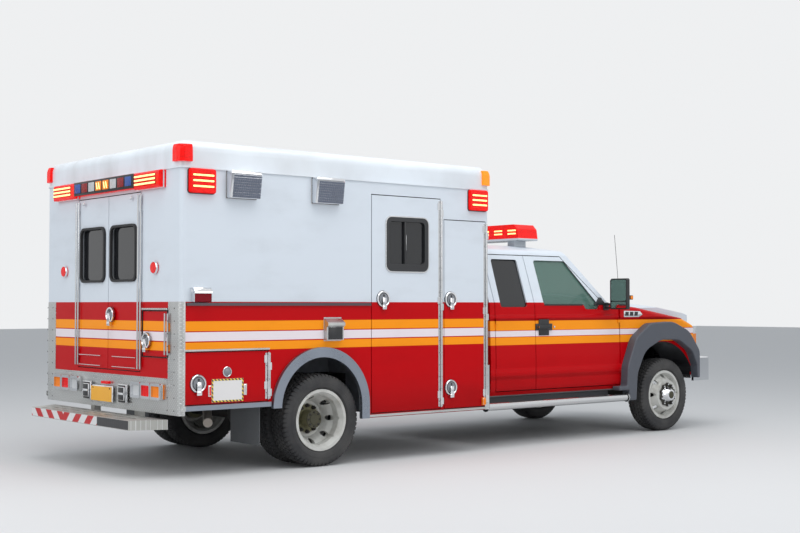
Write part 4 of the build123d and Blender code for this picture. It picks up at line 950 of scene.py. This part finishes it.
def sideDoorParts(body, side, x, z, latches):
    hardware = Form("hardware_" + body, body, *hardwarePaints)
    for along, height in latches:
        latch(hardware, (at(along), side * faceY, height), (0, side, 0), fitting["sideLatch"])
    hingeX = at(x[1])
    length = grown(z, -fitting["stripInset"])
    for strip, way in ((hardware, -1), (wallHinges, 1)):
        span = [hingeX + way * edge for edge in fitting["sideStrip"]]
        strip.use("brightSteel").box(span, across(side, -0.001, 0.0025, faceY), length, 0.001, 1)
        for step in range(int((z[1] - z[0]) / fitting["screwPitch"])):
            spot = (hingeX + way * 0.016, side * (faceY + 0.002), z[0] + 0.07 + step * fitting["screwPitch"])
            strip.use("iron").lathe([(0, 0.004), (0.0015, 0.0035), (0.002, 0)], spot, (0, side, 0), 8)
    barrel = [(hingeX, side * (faceY + 0.009), end) for end in grown(z, -0.015)]
    wallHinges.use("brightSteel").rod(*barrel, 0.0064, 12)
    sealRing("y", ahead(*x), z, *across(side, -0.006, -fitting["sealDepth"], faceY))
    hardware.done()


def rearDoorParts(body, y, z, spot, hingeY, way):
    hardware = Form("hardware_" + body, body, *hardwarePaints)
    if spot:
        latch(hardware, (backX, *spot), (-1, 0, 0), fitting["rearLatch"])
    for strip, turn in ((hardware, way), (wallHinges, -way)):
        span = [hingeY + turn * edge for edge in fitting["rearStrip"]]
        strip.use("brightSteel").box(behind(0.0025, -0.001), span, grown(z, -fitting["stripInset"]), 0.001, 1)
    if body != "corner_locker_door":
        hold = (hingeY + way * 0.12, hingeY + way * 0.15)
        hardware.use("chrome").box(behind(0.010, 0), hold, (2.235, 2.262), 0.004)
        rail = (hingeY + way * 0.05, hingeY + way * 0.46)
        for low in (0.845, 0.93):
            hardware.box(behind(0.006, 0), rail, (low, low + 0.006), 0.002, 1)
    hardware.done()


seals = Form("doorSeals", "chassis", "rubber")
wallHinges = Form("hingeStripsOnWalls", "chassis", "brightSteel", "iron")
for body, specs in doorSpecs.items():
    sideDoorParts(body, *specs)
for body, specs in rearSpecs.items():
    rearDoorParts(body, *specs)
sealRing("x", (-0.566, 0.566), (0.822, 2.290), backX + 0.024, backX + fitting["sealDepth"])
sealRing("x", *rearSpecs["corner_locker_door"][:2], backX + 0.006, backX + fitting["sealDepth"])
seals.done()
wallHinges.done()
print("latches, hinges and seals")


# Windows of the module: rubber, bright frames and the sliding pane's divider

windowFrame = Form("entryWindowFrame", "entry_door", "rubber", "brightSteel", "plastic")
wide, tall = ahead(0.678, 1.168), (1.664, 2.146)
pane = ahead(0.712, 1.126), (1.731, 2.108)
face = across(-1, 0.005, -0.020, faceY)
windowFrame.use("plastic").ring("y", rounded(wide, tall, 0.06), rounded(*pane, 0.035), *face)
windowFrame.box(ahead(0.888, 0.904), face, pane[1], 0.003)
windowFrame.use("brightSteel").rim("y", wide, tall, (0.010, 0.068), (0, 0.060),
                                   *across(-1, 0.0065, -0.002, faceY))
windowFrame.box(ahead(0.905, 0.912), across(-1, 0.004, -0.01, faceY), (1.85, 1.99), 0.002)
windowFrame.done()
for body, y in (("rear_door_right", (-0.504, -0.055)), ("rear_door_left", (0.055, 0.504))):
    gasket = Form("windowGasket_" + body, body, "rubber")
    gasket.rim("x", y, (1.565, 2.031), (0.006, 0.066), (-0.014, 0.048), *behind(0.004, -0.020))
    gasket.done()
print("windows")


# Lamps: lit bars, bezels and gaskets on the lenses

lampSpecs = {
    "sideX": ((-1.321, -1.084), (1.660, 1.890)),
    "sideZ": (2.247, 2.440),
    "sideDepth": 0.0405,
    "rearY": (0.545, 0.974),
    "rearZ": (2.304, 2.440),
    "barHeights": (0.27, 0.50, 0.73),
    "barHalf": 0.007,
    "lightBarY": 0.53,
    "lightBarZ": (2.320, 2.440),
    "segments": ("blueLens", "dullRed", "clearLens", "amberLens", "amberLens", "clearLens", "dullRed",
                 "blueLens"),
    "sceneX": (-0.829, 0.012),
    "sceneHalf": 0.143,
    "sceneZ": (topZ - 0.220, topZ - 0.002),
    "sceneRibs": 9,
    "tailY": (0.564, 0.730, 0.893),
    "tailHalf": 0.074,
    "tailZ": (0.621, 0.732),
}


def onWall(side, points):  # an outline across X, by how far each point stands out of the side wall
    return [(side * (faceY + out), z) for out, z in points]


def litBars(form, axis, first, second, low, high):
    # three bright bars across a lens, each in a dark reflector line
    edge = (first[1] - first[0]) * 0.10
    for share in lampSpecs["barHeights"]:
        middle = second[0] + (second[1] - second[0]) * share
        for tone, grow, lift in (("dullRed", 0.004, 0.0), ("litBars", 0.0, 0.0015)):
            outline = rounded(grown(first, grow - edge), about(middle, lampSpecs["barHalf"] + grow), 0.005, 3)
            form.use(tone).prism(axis, outline, low - lift if low < high else low + lift, high)


def warningLampBars():
    bars = Form("warningLampBars", "chassis", "litBars", "dullRed", "rubber", "chrome")
    low, high = lampSpecs["sideZ"]
    rearLow, rearHigh = lampSpecs["rearZ"]
    for side in (-1, 1):
        face = side * (faceY + lampSpecs["sideDepth"])
        for distances in lampSpecs["sideX"]:
            x = ahead(*distances)
            litBars(bars, "y", x, (low, high), face, face - side * 0.004)
            outer = rounded(grown(x, 0.006), (low - 0.006, high + 0.001), 0.024)
            inner = rounded(grown(x, -0.001), (low + 0.001, high - 0.001), 0.020)
            bars.use("rubber").ring("y", outer, inner, *across(side, -0.001, 0.008, faceY))
        span = across(side, *lampSpecs["rearY"])
        litBars(bars, "x", span, (rearLow, rearHigh), *behind(0.0605, 0.056))
        outer = rounded((span[0] - 0.001, span[1] + 0.006), (rearLow - 0.006, rearHigh + 0.001), 0.010)
        inner = rounded(grown(span, -0.001), (rearLow + 0.001, rearHigh - 0.001), 0.008)
        bars.use("chrome").ring("x", outer, inner, *behind(0.012, 0))
    bars.done()


def rearLightBar():
    bar = Form("rearLightBar", "chassis", "plastic", "blueLens", "dullRed", "clearLens", "amberLens",
               "litBars")
    half = lampSpecs["lightBarY"]
    low, high = lampSpecs["lightBarZ"]
    pitch = 2 * half / len(lampSpecs["segments"])
    lensX, lensZ = behind(0.052, 0.040), (low + 0.018, high - 0.014)
    for index, tone in enumerate(lampSpecs["segments"]):
        middle = -half + pitch * (index + 0.5)
        bar.use(tone).box(lensX, about(middle, pitch / 2 - 0.006), lensZ, 0.005)
        for shift in ((-0.022, 0.018) if tone == "amberLens" else ()):
            foot = about(middle + shift, 0.008)
            head = about(middle + shift + 0.018, 0.008)
            stroke = [(foot[0], low + 0.034), (foot[1], low + 0.034), (head[1], high - 0.030),
                      (head[0], high - 0.030)]
            bar.use("litBars").prism("x", stroke, *behind(0.0535, 0.050))
    bar.use("plastic").box(behind(0.0465, 0.040), (-half - 0.016, half + 0.016), (low + 0.001, high), 0.003)
    bar.done()


def sceneFloodlights():
    # a chrome wedge with a slanting ribbed lens; the ribs come from the wedge's lower edge up
    lamps = Form("sceneFloodlights", "chassis", "chrome", "sceneLens", "rubber")
    low, high = lampSpecs["sceneZ"]
    ribs = lampSpecs["sceneRibs"]
    length = 0.200
    used = 0.92
    slant = Vector((0.028, 0.198)).normalized()
    for side, middle in ((side, middle) for side in (-1, 1) for middle in lampSpecs["sceneX"]):
        left, right = about(at(middle), lampSpecs["sceneHalf"])
        wedge = onWall(side, ((0, low), (0, high), (0.088, high), (0.088, high - 0.020), (0.060, low)))
        lamps.use("chrome").prism("x", wedge, left, right, 0.008, 3)
        for index in range(ribs):
            share = 0.02 + used * (index + 0.5) / ribs
            spot = Vector((0.060, low)) + slant * length * share
            half = slant * (length * used / ribs / 2 * 0.98)
            thick = 0.0030 if index % 2 else 0.0018
            lift = Vector((thick, -thick * 0.1))
            rib = onWall(side, (spot - half, spot + half, spot + half + lift, spot - half + lift))
            lamps.use("sceneLens").prism("x", rib, left + 0.020, right + 0.001, 0.0008, 1)
        lamps.use("rubber").box((left - 0.004, right + 0.004), across(side, -0.001, 0.005, faceY),
                                (low - 0.004, high + 0.001), 0.002, 1)
    lamps.done(["scene_lamps"])


def tailLampBezels():
    # rims of the tail lamps and round markers, black boxes beside the number plate as painted shade standing
    # for recesses, hoods of the side markers
    bezels = Form("tailLampBezels", "chassis", "chrome", "plastic")
    z = lampSpecs["tailZ"]
    hood = ((0.0615, 1.458), (0.0635, 1.456), (0.0635, 1.472), (0.0450, 1.503), (0, 1.503), (0, 1.499))
    for side in (-1, 1):
        bezels.use("chrome")
        for spot in lampSpecs["tailY"]:
            y = about(side * spot, lampSpecs["tailHalf"])
            outer = rounded(grown(y, 0.006), grown(z, 0.009), 0.016)
            inner = rounded(grown(y, -0.011), grown(z, -0.012), 0.010)
            bezels.ring("x", outer, inner, *behind(0.0300, 0.002))
        marker = (backX - 0.0065, side * 0.820, 1.665)
        bezels.lathe([(-0.012, 0.051), (0.0, 0.050), (0.003, 0.046), (0.001, 0.040)], marker, (-1, 0, 0), 40)
        bezels.prism("x", onWall(side, hood), *ahead(-1.292, -1.133), 0.001, 1)
        for x in (-1.292, -1.136):
            bezels.box(ahead(x, x + 0.003), across(side, 0, 0.058, faceY), (1.388, 1.470), 0.001, 1)
        socket = across(side, 0.253, 0.395)
        bezels.box(behind(0.038, 0.029), grown(socket, -0.026), (0.622, 0.642), 0.003)
        # black boxes beside the number plate: painted shade standing for recesses
        bezels.use("plastic").box(behind(0.020, 0.002), socket, (0.552, 0.710), 0.008)
        bezels.box(behind(0.030, 0.018), grown(socket, -0.018), (0.575, 0.690), 0.006)
    bezels.done()


warningLampBars()
rearLightBar()
sceneFloodlights()
tailLampBezels()
print("lamps")


# What is fixed to the module: inlet, plates, rivets, corner guards and markers

fixed = Form("fixedFittings", "chassis", "chrome", "brightSteel", "plastic", "yellowPlate", "amberLens",
             "iron")
# the inlet's plate, lid and hinge
fixed.use("brightSteel").box(ahead(-0.002, 0.184), across(-1, 0.003, -0.001, faceY), (1.060, 1.262), 0.001, 1)
fixed.rod((at(0.006), -faceY - 0.052, 1.198), (at(0.176), -faceY - 0.052, 1.198), 0.006, 10)
lid = onWall(-1, ((0.0415, 1.070), (0.0435, 1.072), (0.0435, 1.180), (0.0415, 1.182)))
fixed.use("plastic").prism("x", lid, *ahead(0.014, 0.168), 0.001, 1)
# the blank yellow number plate in its frame
fixed.use("chrome").box(behind(0.010, 0.002), (-0.137, 0.264), (0.539, 0.684), 0.004)
fixed.use("yellowPlate").box(behind(0.012, 0.008), (-0.128, 0.255), (0.548, 0.675), 0.002, 1)
screw = [(0, 0.007), (0.003, 0.006), (0.004, 0)]
for y in (-0.09, 0.217):
    fixed.use("iron").lathe(screw, (backX - 0.012, y, 0.661), (-1, 0, 0), 12)
# rivets of the rear corners, guards of the front corners and the amber markers' lenses
rivet = [(0, 0.0055), (0.002, 0.005), (0.003, 0)]
guardX, guardZ = (frontX - 0.001, frontX + 0.003), (0.386, 0.800)
for side in (-1, 1):
    for spot in [(backX - 0.0035, side * y, 0.54 + 0.10 * step) for step in range(9) for y in (1.045, 1.150)]:
        fixed.use("iron").lathe(rivet, spot, (-1, 0, 0), 10)
    fixed.use("brightSteel").box(guardX, across(side, -0.050, 0.003, faceY), guardZ, 0.001, 1)
    fixed.box((frontX - 0.055, guardX[1]), across(side, -0.001, 0.003, faceY), guardZ, 0.001, 1)
    fixed.use("amberLens").box(ahead(1.829, 1.865), across(side, 0.020, 0.025, faceY), (0.434, 0.496), 0.002)
fixed.done()

rearPlate = Form("rearLockerFittings", "rear_locker_door_right", "blankPlate", "hazard", "redLens",
                 "clearLens",
                 "chrome", "lampGrey")
x, z = ahead(-1.087, -0.816), (0.607, 0.766)
rearPlate.use("blankPlate").box(x, across(-1, 0.003, -0.001, faceY), z, 0.001, 1)
tape = [((end - out, end + 0.014 - out), grown(z, 0.012)) for end, out in ((x[0], 0.012), (x[1], 0.002))]
tape += [(x, (end - out, end + 0.014 - out)) for end, out in ((z[0], 0.012), (z[1], 0.002))]
for strip in tape:
    rearPlate.use("hazard").box(strip[0], across(-1, 0.0045, -0.001, faceY), strip[1], 0.0008, 1)
for middle, tone in ((x[0] - 0.030, "redLens"), (x[1] + 0.030, "clearLens")):
    rim = about(middle, 0.014), across(-1, 0.006, -0.001, faceY), grown(z, -0.035)
    rearPlate.use("chrome").box(*rim, 0.004)
    rearPlate.use(tone).box(about(middle, 0.010), across(-1, 0.010, 0.004, faceY), grown(z, -0.041), 0.003)
spot = (at(-0.958), -faceY, 0.833)
ring = [(-0.001, 0.042), (0.008, 0.042), (0.011, 0.039), (0.011, 0.035), (0.009, 0.033)]
rearPlate.use("chrome").lathe(ring, spot, (0, -1, 0), 40)
rearPlate.use("lampGrey").lathe([(0.006, 0.034), (0.011, 0.026), (0.013, 0.0)], spot, (0, -1, 0), 32)
rearPlate.done()
print("fittings")


# Cab: handles, seals, wipers, aerial, light bar, mirrors and nose

cab = {
    "handle": (2.870, 1.145),
    "beltX": (2.890, 3.455),
    "beltZ": (1.359, 1.375),
    "beltY": (0.9995, 1.0065),
    "mirrorX": (3.745, 3.840),
    "mirrorZ": (1.320, 1.640),
    "mirrorY": (1.122, 1.352),
    "innerY": 0.945,
    "barX": (2.930, 3.215),
    "barZ": (2.035, 2.200),
    "barHalf": 0.600,
}


sailPlate = ((3.640, 1.366), (3.812, 1.366), (3.790, 1.392), (3.732, 1.446), (3.722, 1.440))
ventOutline = ((4.085, 1.236), (4.330, 1.236), (4.395, 1.262), (4.350, 1.300), (4.085, 1.306))


def outlineAhead(points):  # an outline across Y, with x ahead of the rear axle
    return [(at(x), z) for x, z in points]


def doorHandle(trim, side):
    x, z = at(cab["handle"][0]), cab["handle"][1]
    trim.use("plastic").box(about(x, 0.098), across(side, 0.0255, 0.0055, cabHalf), about(z, 0.020), 0.007, 3)
    trim.box(about(x, 0.120), across(side, 0.004, -0.004, cabHalf), about(z, 0.034), 0.004)
    # a black plate behind the handle for its bowl recess: partly the black bezel, partly painted shade of the
    # recess
    trim.box(about(x, 0.072), across(side, 0.0045, -0.004, cabHalf), (1.062, 1.222), 0.02, 3)
    lock = (x + 0.150, side * (cabHalf + 0.0015), z)
    trim.use("chrome").lathe([(0, 0.011), (0.003, 0.010), (0.004, 0)], lock, (0, side, 0), 16)
    trim.use("rubber").box(ahead(*cab["beltX"]), across(side, *cab["beltY"]), cab["beltZ"], 0.002, 1)


def mirrorTrim(trim, side):
    # two glasses in a rim, the sail plate and bracket at the door, and the lamp on the head's edge
    low, high = cab["mirrorZ"]
    back, front = ahead(*cab["mirrorX"])
    back -= 0.0015
    span = grown(across(side, *cab["mirrorY"]), -0.014)
    glasses = ((low + 0.088, high - 0.016, 0.020), (low + 0.014, low + 0.078, 0.016))
    for bottom, top, radius in glasses:
        glass = rounded(span, (bottom, top), radius)
        trim.use("mirrorGlass").prism("x", glass, back - 0.001, back + 0.004, 0.001, 1)
    trim.use("plastic").ring("x", rounded(grown(span, 0.010), (low + 0.005, high - 0.006), 0.024),
                             rounded(span, (low + 0.014, high - 0.016), 0.018), back - 0.004, back + 0.004)
    trim.prism("y", outlineAhead(sailPlate), side * 0.962, side * 1.006, 0.003, 2)
    trim.box(ahead(3.770, 3.850), across(side, 0.990, 1.018), (1.312, 1.392), 0.008)
    lamp = across(side, cab["mirrorY"][1] - 0.040, cab["mirrorY"][1])
    trim.use("amberLens").box((front - 0.045, front + 0.001), lamp, (low + 0.10, low + 0.145), 0.006)


def doorInside(trim, side):
    # armrest, pocket and pull
    inner = cab["innerY"]
    trim.use("dash").box(ahead(2.93, 3.62), across(side, inner, inner - 0.060), (1.030, 1.085), 0.020, 3)
    trim.box(ahead(2.95, 3.85), across(side, inner, inner - 0.035), (0.640, 0.790), 0.014, 2)
    pull = [(at(x), side * (inner - depth), z)
            for x, depth,
            z in ((3.42, 0.005, 1.15), (3.42, 0.050, 1.16), (3.62, 0.050, 1.20), (3.62, 0.005, 1.21))]
    trim.use("plastic").tube(bend(pull, 0.03), 0.011, 8)


for name, side in sides.items():
    trim = Form("doorTrim_" + name, "cab_door_" + name, "plastic", "rubber", "chrome", "mirrorGlass",
                "amberLens",
                "dash")
    doorHandle(trim, side)
    mirrorTrim(trim, side)
    doorInside(trim, side)
    trim.done()

lightBar = Form("cabLightBar", "chassis", "litBars", "plastic")
left, right = ahead(*cab["barX"])
low, high = cab["barZ"]
half = cab["barHalf"]
for y in (-half + 0.10 + step * (2 * half - 0.20) / 5 for step in range(6)):
    for share in (0.42, 0.62):
        outline = rounded(about(y, 0.060), about(low + (high - low) * share, 0.007), 0.005, 3)
        lightBar.use("litBars").prism("x", outline, left - 0.001, left + 0.004)
dividerX, dividerZ = (left + 0.010, right - 0.010), (high - 0.006, high + 0.0015)
for y in (-half + 0.20 * step for step in range(1, 6)):
    lightBar.use("plastic").box(dividerX, about(y, 0.004), dividerZ, 0.001, 1)
lightBar.done()

nose = Form("noseFittings", "chassis", "plastic", "clearLens", "lampBowl")
# wipers on the cowl, aerial on the right fender, bars of the grille, bowls of the headlamps, bumper lamps
for side in (-1, 1):
    pivot = Vector((at(3.900), side * 0.28 + 0.25, 1.392))
    tip = Vector((at(3.800), side * 0.28 - 0.30, 1.425))
    nose.use("plastic").tube(bend([pivot, pivot + Vector((-0.03, -0.10, 0.028)), tip], 0.03), 0.007, 8)
    nose.tube([tip + Vector((-0.008, -0.25, -0.004)), tip + Vector((-0.012, 0.27, 0.004))], 0.006, 6)
    boss = pivot - Vector((0, 0, 0.006))
    nose.lathe([(0, 0.018), (0.016, 0.016), (0.020, 0.010), (0.020, 0)], boss, (0, 0, 1), 14)
    for x, y, lean, reach in ((5.4835, 0.680, 0.12, 0.066), (5.4485, 0.830, 0.22, 0.060)):
        bowl = [(-0.002, reach), (0.004, reach), (0.006, reach * 0.93), (0.003, reach * 0.9),
                (0.001, reach * 0.5),
                (0.006, 0.012), (0.007, 0)]
        nose.use("lampBowl").lathe(bowl, (at(x), side * y, 1.005), (0.95, side * lean, 0.02), 36)
    nose.use("clearLens").box(ahead(5.655, 5.662), across(side, 0.475, 0.555), (0.562, 0.598), 0.003)
foot = [(0, 0.022), (0.006, 0.021), (0.016, 0.008), (0.018, 0)]
nose.use("plastic").lathe(foot, (at(4.100), -0.930, 1.352), (0, 0, 1), 18)
aerial = [(at(4.100), -0.930, 1.355), (at(4.094), -0.934, 1.60), (at(4.020), -0.948, 2.11)]
nose.tube(bend(aerial, 0.15), 0.0026, 6)
for z in (0.795 + step * 0.024 for step in range(14)):
    nose.box(ahead(5.405, 5.418), (-0.50, 0.50), (z, z + 0.010), 0.002, 1)
nose.done()

vents = Form("fenderVents", "chassis", "plastic", "chrome")
for side in (-1, 1):
    outline = outlineAhead(ventOutline)
    vents.use("chrome").prism("y", outline, side * (cabHalf - 0.030), side * (cabHalf + 0.0015), 0.002)
    for x in (4.105 + step * 0.075 for step in range(3)):
        slot = outlineAhead(((x, 1.250), (x + 0.055, 1.250), (x + 0.062, 1.292), (x + 0.006, 1.294)))
        vents.use("plastic").prism("y", slot, side * (cabHalf - 0.020), side * (cabHalf + 0.0030), 0.001, 1)
vents.done()

ends = Form("runningBoardEnds", "chassis", "plastic")
for y in (-1.090, 1.090):
    for x in ahead(1.990, 4.026):
        ends.rod((x - 0.0005, y, 0.394), (x + 0.0145, y, 0.394), 0.0462, 24)
    for start in (2.30, 3.28):
        for row in (-0.012, 0.012):
            ends.box(ahead(start, start + 0.46), about(y + row, 0.007), (0.4275, 0.4315), 0.001, 1)
ends.done()
print("cab outside")


# Cab inside: dashboard, steering wheel and cloth seats

dash = Form("dashboard", "chassis", "dash", "plastic", "lampGrey", "chrome")
shelf = ((3.560, 1.190), (3.700, 1.300), (3.930, 1.330), (3.930, 0.905), (3.700, 0.905))
binnacle = ((3.560, 1.235), (3.620, 1.300), (3.760, 1.338), (3.800, 1.300), (3.620, 1.200))
dash.use("dash").prism("y", outlineAhead(shelf), -0.885, 0.885, 0.022, 3)
dash.prism("y", outlineAhead(binnacle), 0.220, 0.620, 0.018, 3)
dash.boxes(
    ("plastic", (3.572, 3.600), (-0.165, 0.165), (0.930, 1.175), 0.012),
    ("lampGrey", (3.560, 3.574), (-0.120, 0.120), (1.080, 1.160), 0.004),
    *(("plastic", (3.578, 3.600), about(y, 0.060), (1.170, 1.225), 0.008) for y in (-0.72, -0.30, 0.80)),
)
for y in (-0.10, -0.035, 0.03, 0.095):
    dash.use("plastic").lathe([(0, 0.024), (0.018, 0.020), (0.020, 0)], (at(3.574), y, 1.010), (-1, 0, 0), 20)
column = Vector((at(3.400), 0.420, 1.220))
tilt = Vector((-math.sin(math.radians(62)), 0, math.cos(math.radians(62))))
lift = tilt.cross(Vector((0, 1, 0)))


def onWheel(angle, radius):  # a place on the steering wheel
    turn = math.radians(angle)
    return column + Vector((0, 1, 0)) * radius * math.cos(turn) + lift * radius * math.sin(turn)


dash.use("plastic").tube([onWheel(6 * step, 0.190) for step in range(61)], 0.0155, 12)
for angle in (0, 180, 270):
    outer = onWheel(angle, 0.180)
    dash.tube(bend([column - tilt * 0.020, (column + outer) / 2 - tilt * 0.012, outer], 0.02), 0.014, 8)
dash.lathe([(-0.040, 0.045), (-0.010, 0.072), (0.012, 0.070), (0.022, 0.052), (0.024, 0)], column, tilt, 32)
dash.rod(column - tilt * 0.300, column - tilt * 0.030, 0.034, 18)
dash.use("chrome").rod(column - tilt * 0.080, column - tilt * 0.080 + Vector((0.01, 0.155, 0.02)), 0.005, 8)
dash.done(["cab_interior"])


def leaning(angle, axis="Y"):
    return Matrix.Rotation(math.radians(angle), 3, axis)


def seatParts(name, y):
    front = 3.380
    wide = 0.270
    tall = 0.62
    base = Form("seatFrame_" + name, "chassis", "plastic")
    base.box(ahead(front - 0.50, front - 0.02), about(y, wide - 0.03), (0.786, 0.985), 0.02, 2).done()
    seat = Form("seatCushion_" + name, "chassis", "fabric")
    seat.cushion((at(front - 0.255), y, 1.065), (0.260, wide, 0.088), None, (0.36, 0.2),
                 ((1, -wide * 0.62, 0.010), (1, wide * 0.62, 0.010), (0, 0.05, 0.006)))
    middle = (at(front - 0.560 - tall * 0.26), y, 1.13 + tall * 0.56)
    seat.cushion(middle, (tall * 0.56, wide * 0.97, 0.072), leaning(-76), (0.36, 0.22),
                 ((1, -wide * 0.60, 0.009), (1, wide * 0.60, 0.009), (0, 0.04, 0.005)))
    seat.done(angle=60)


seatParts("right", -0.460)
seatParts("left", 0.460)
rearFrame = Form("seatFrame_rear", "chassis", "plastic")
rearFrame.box(ahead(2.205, 2.600), (-0.76, 0.76), (0.786, 0.970), 0.02).done()
for name, side in sides.items():
    bench = Form("rearSeat_" + name, "chassis", "fabric")
    bench.cushion((at(2.425), side * 0.40, 1.035), (0.205, 0.385, 0.085), None, (0.36, 0.18),
                  ((1, 0.0, 0.009), (0, 0.04, 0.006)))
    bench.cushion((at(2.262), side * 0.40, 1.345), (0.245, 0.375, 0.062), leaning(-84), (0.36, 0.2),
                  ((1, 0.0, 0.008),))
    bench.done(angle=60)
print("cab inside")


# Patient space: cabinets with doors and handles, the attendant's seat and the squad bench

cabinets = Form("patientCabinets", "chassis", "laminate", "brightSteel", "plastic", "cabinetDoor", "lampGrey",
                "clearLens")
cabinetX = (-1.264, 1.330)
benchX = (-1.264, 0.430)
counterFront = 0.659
upperFront = 0.811
wallY = 1.147
cabinets.boxes(
    ("brightSteel", cabinetX, (counterFront - 0.012, wallY), (1.362, 1.396), 0.005),
    ("laminate", cabinetX, (counterFront, counterFront + 0.018), (0.823, 1.362), 0.002, 1),
    ("laminate", cabinetX, (upperFront, wallY), (1.900, 2.380), 0.006),
    ("laminate", (-1.264, -1.244), (counterFront, wallY), (1.396, 1.900), 0.002, 1),
    ("laminate", (1.310, 1.330), (counterFront, wallY), (0.823, 1.900), 0.002, 1),
    ("plastic", (0.30, 0.62), (0.947, 1.087), (1.396, 1.560), 0.012),
    ("lampGrey", (0.33, 0.59), (0.941, 0.951), (1.43, 1.53), 0.004),
    ("laminate", benchX, (-0.587, -0.567), (0.823, 1.175), 0.004),
    ("laminate", (-1.264, -1.244), (-wallY, -0.587), (1.050, 1.175), 0.003),
    ("laminate", (0.410, 0.430), (-wallY, -0.587), (1.050, 1.175), 0.003),
    ("laminate", benchX, (-wallY, -0.567), (1.160, 1.182), 0.004),
    *(("clearLens", about(x, 0.20), (0.20, 0.40), (2.592, 2.606), 0.005) for x in (-0.85, 0.0, 0.85)),
)
doors = 5
left, right = ahead(*cabinetX)
pitch = (right - left) / doors
for step in range(doors):
    x = (left + step * pitch + 0.012, left + (step + 1) * pitch - 0.012)
    cabinets.use("cabinetDoor").box(x, (counterFront - 0.012, counterFront + 0.004), (0.850, 1.340), 0.005)
    cabinets.box(x, (upperFront - 0.012, upperFront + 0.006), (1.930, 2.350), 0.005)
    bar = (upperFront - 0.026, upperFront - 0.010)
    cabinets.use("brightSteel").box(grown(x, -0.16), bar, (1.955, 1.972), 0.004)
    handle = [(x[1] - 0.045, counterFront - out, z)
              for out, z in ((0.010, 1.235), (0.040, 1.235), (0.040, 1.315), (0.010, 1.315))]
    cabinets.tube(bend(handle, 0.012), 0.005, 8)
rail = [(at(x), -0.06, z) for x, z in ((-1.10, 2.604), (-1.10, 2.540), (1.20, 2.540), (1.20, 2.604))]
cabinets.use("brightSteel").tube(bend(rail, 0.05), 0.016, 10)
# the attendant seat's pedestal behind the walkway to the cab
pedestal = [(0, 0.16), (0.02, 0.16), (0.04, 0.07), (0.30, 0.07), (0.32, 0.14), (0.34, 0.14)]
cabinets.use("plastic").lathe(pedestal, (at(1.375), -0.08, 0.823), (0, 0, 1), 28)
cabinets.done(["patient_furniture"])

pads = Form("benchCushions", "chassis", "vinyl")
for x in (at(-0.985 + step * 0.565) for step in range(3)):
    pads.cushion((x, -0.862, 1.226), (0.278, 0.282, 0.048), None, (0.34, 0.16), ((0, 0.0, 0.006),))
    pads.cushion((x, -1.112, 1.535), (0.275, 0.110, 0.036), leaning(90, "X"), (0.34, 0.18),
                 ((0, 0.0, 0.005),))
pads.done(angle=60)
seat = Form("attendantSeat", "chassis", "vinyl")
seat.cushion((at(1.375), -0.08, 1.225), (0.225, 0.245, 0.062), None, (0.36, 0.2),
             ((1, 0.15, 0.008), (1, -0.15, 0.008)))
seat.cushion((at(1.640), -0.08, 1.590), (0.330, 0.240, 0.062), leaning(90), (0.36, 0.22),
             ((1, 0.14, 0.008), (1, -0.14, 0.008), (0, 0.1, 0.006)))
seat.done(angle=60)
print("patient space")


# Camera, floor and light

view = {
    "place": (-8.469, -9.983, 1.367),
    "heading": 50.27,  # degrees from +X towards +Y
    "tilt": 1.71,
    "lens": 57.77,
    "sensor": 36.0,
}
lamps = {
    # name: place, aim, size, power
    "skyLamp": ((-2.0, -3.0, 9.0), (0, 0, 1.0), 9.0, 620),
    "rearLamp": ((-11.0, -1.0, 5.0), (-3.0, 0, 1.2), 6.0, 260),
    "sideLamp": ((2.0, -11.0, 5.0), (0.5, 0, 1.0), 6.0, 230),
}


def makeCamera():
    data = bpy.data.cameras.new("camera")
    data.lens = view["lens"]
    data.sensor_width = view["sensor"]
    camera = shown("camera", data)
    camera.location = view["place"]
    camera.rotation_euler = (math.radians(90 + view["tilt"]), 0, math.radians(view["heading"] - 90))
    bpy.context.scene.camera = camera


def makeFloor():
    mesh = bpy.data.meshes.new("studioFloor")
    reach = 60.0
    corners = [(-reach, -reach, 0), (reach, -reach, 0), (reach, reach, 0), (-reach, reach, 0)]
    mesh.from_pydata(corners, [], [(0, 1, 2, 3)])
    mesh.materials.append(Paint("studioFloorPaint", (0.62, 0.62, 0.62), 0.7).material)
    shown("studioFloor", mesh)


def makeWorld():
    # one sky gives the light, and another shows to the camera, in reflections and through glass
    world = bpy.data.worlds.new("studioWorld")
    world.use_nodes = True
    bpy.context.scene.world = world
    tree = world.node_tree
    shade = tree.nodes["Background"]
    seen = tree.nodes.new("ShaderNodeBackground")
    for sky, color, strength in ((shade, (0.80, 0.86, 0.93, 1), 0.62), (seen, (0.86, 0.87, 0.88, 1), 1.0)):
        sky.inputs["Color"].default_value = color
        sky.inputs["Strength"].default_value = strength
    path = tree.nodes.new("ShaderNodeLightPath")
    either = path.outputs["Is Camera Ray"]
    for kind in ("Is Glossy Ray", "Is Transmission Ray"):
        largest = tree.nodes.new("ShaderNodeMath")
        largest.operation = "MAXIMUM"
        tree.links.new(either, largest.inputs[0])
        tree.links.new(path.outputs[kind], largest.inputs[1])
        either = largest.outputs[0]
    blend = tree.nodes.new("ShaderNodeMixShader")
    for index, output in enumerate((either, shade.outputs[0], seen.outputs[0])):
        tree.links.new(output, blend.inputs[index])
    tree.links.new(blend.outputs[0], tree.nodes["World Output"].inputs["Surface"])


def makeLamps():
    for name, (place, aim, size, power) in lamps.items():
        data = bpy.data.lights.new(name, "AREA")
        data.shape = "SQUARE"
        data.size = size
        data.energy = power
        lamp = shown(name, data)
        lamp.location = place
        lamp.rotation_euler = (Vector(aim) - Vector(place)).to_track_quat("-Z", "Y").to_euler()


makeCamera()
makeFloor()
makeWorld()
makeLamps()
bpy.context.scene.view_settings.view_transform = "Standard"
print("camera, floor and light are set")
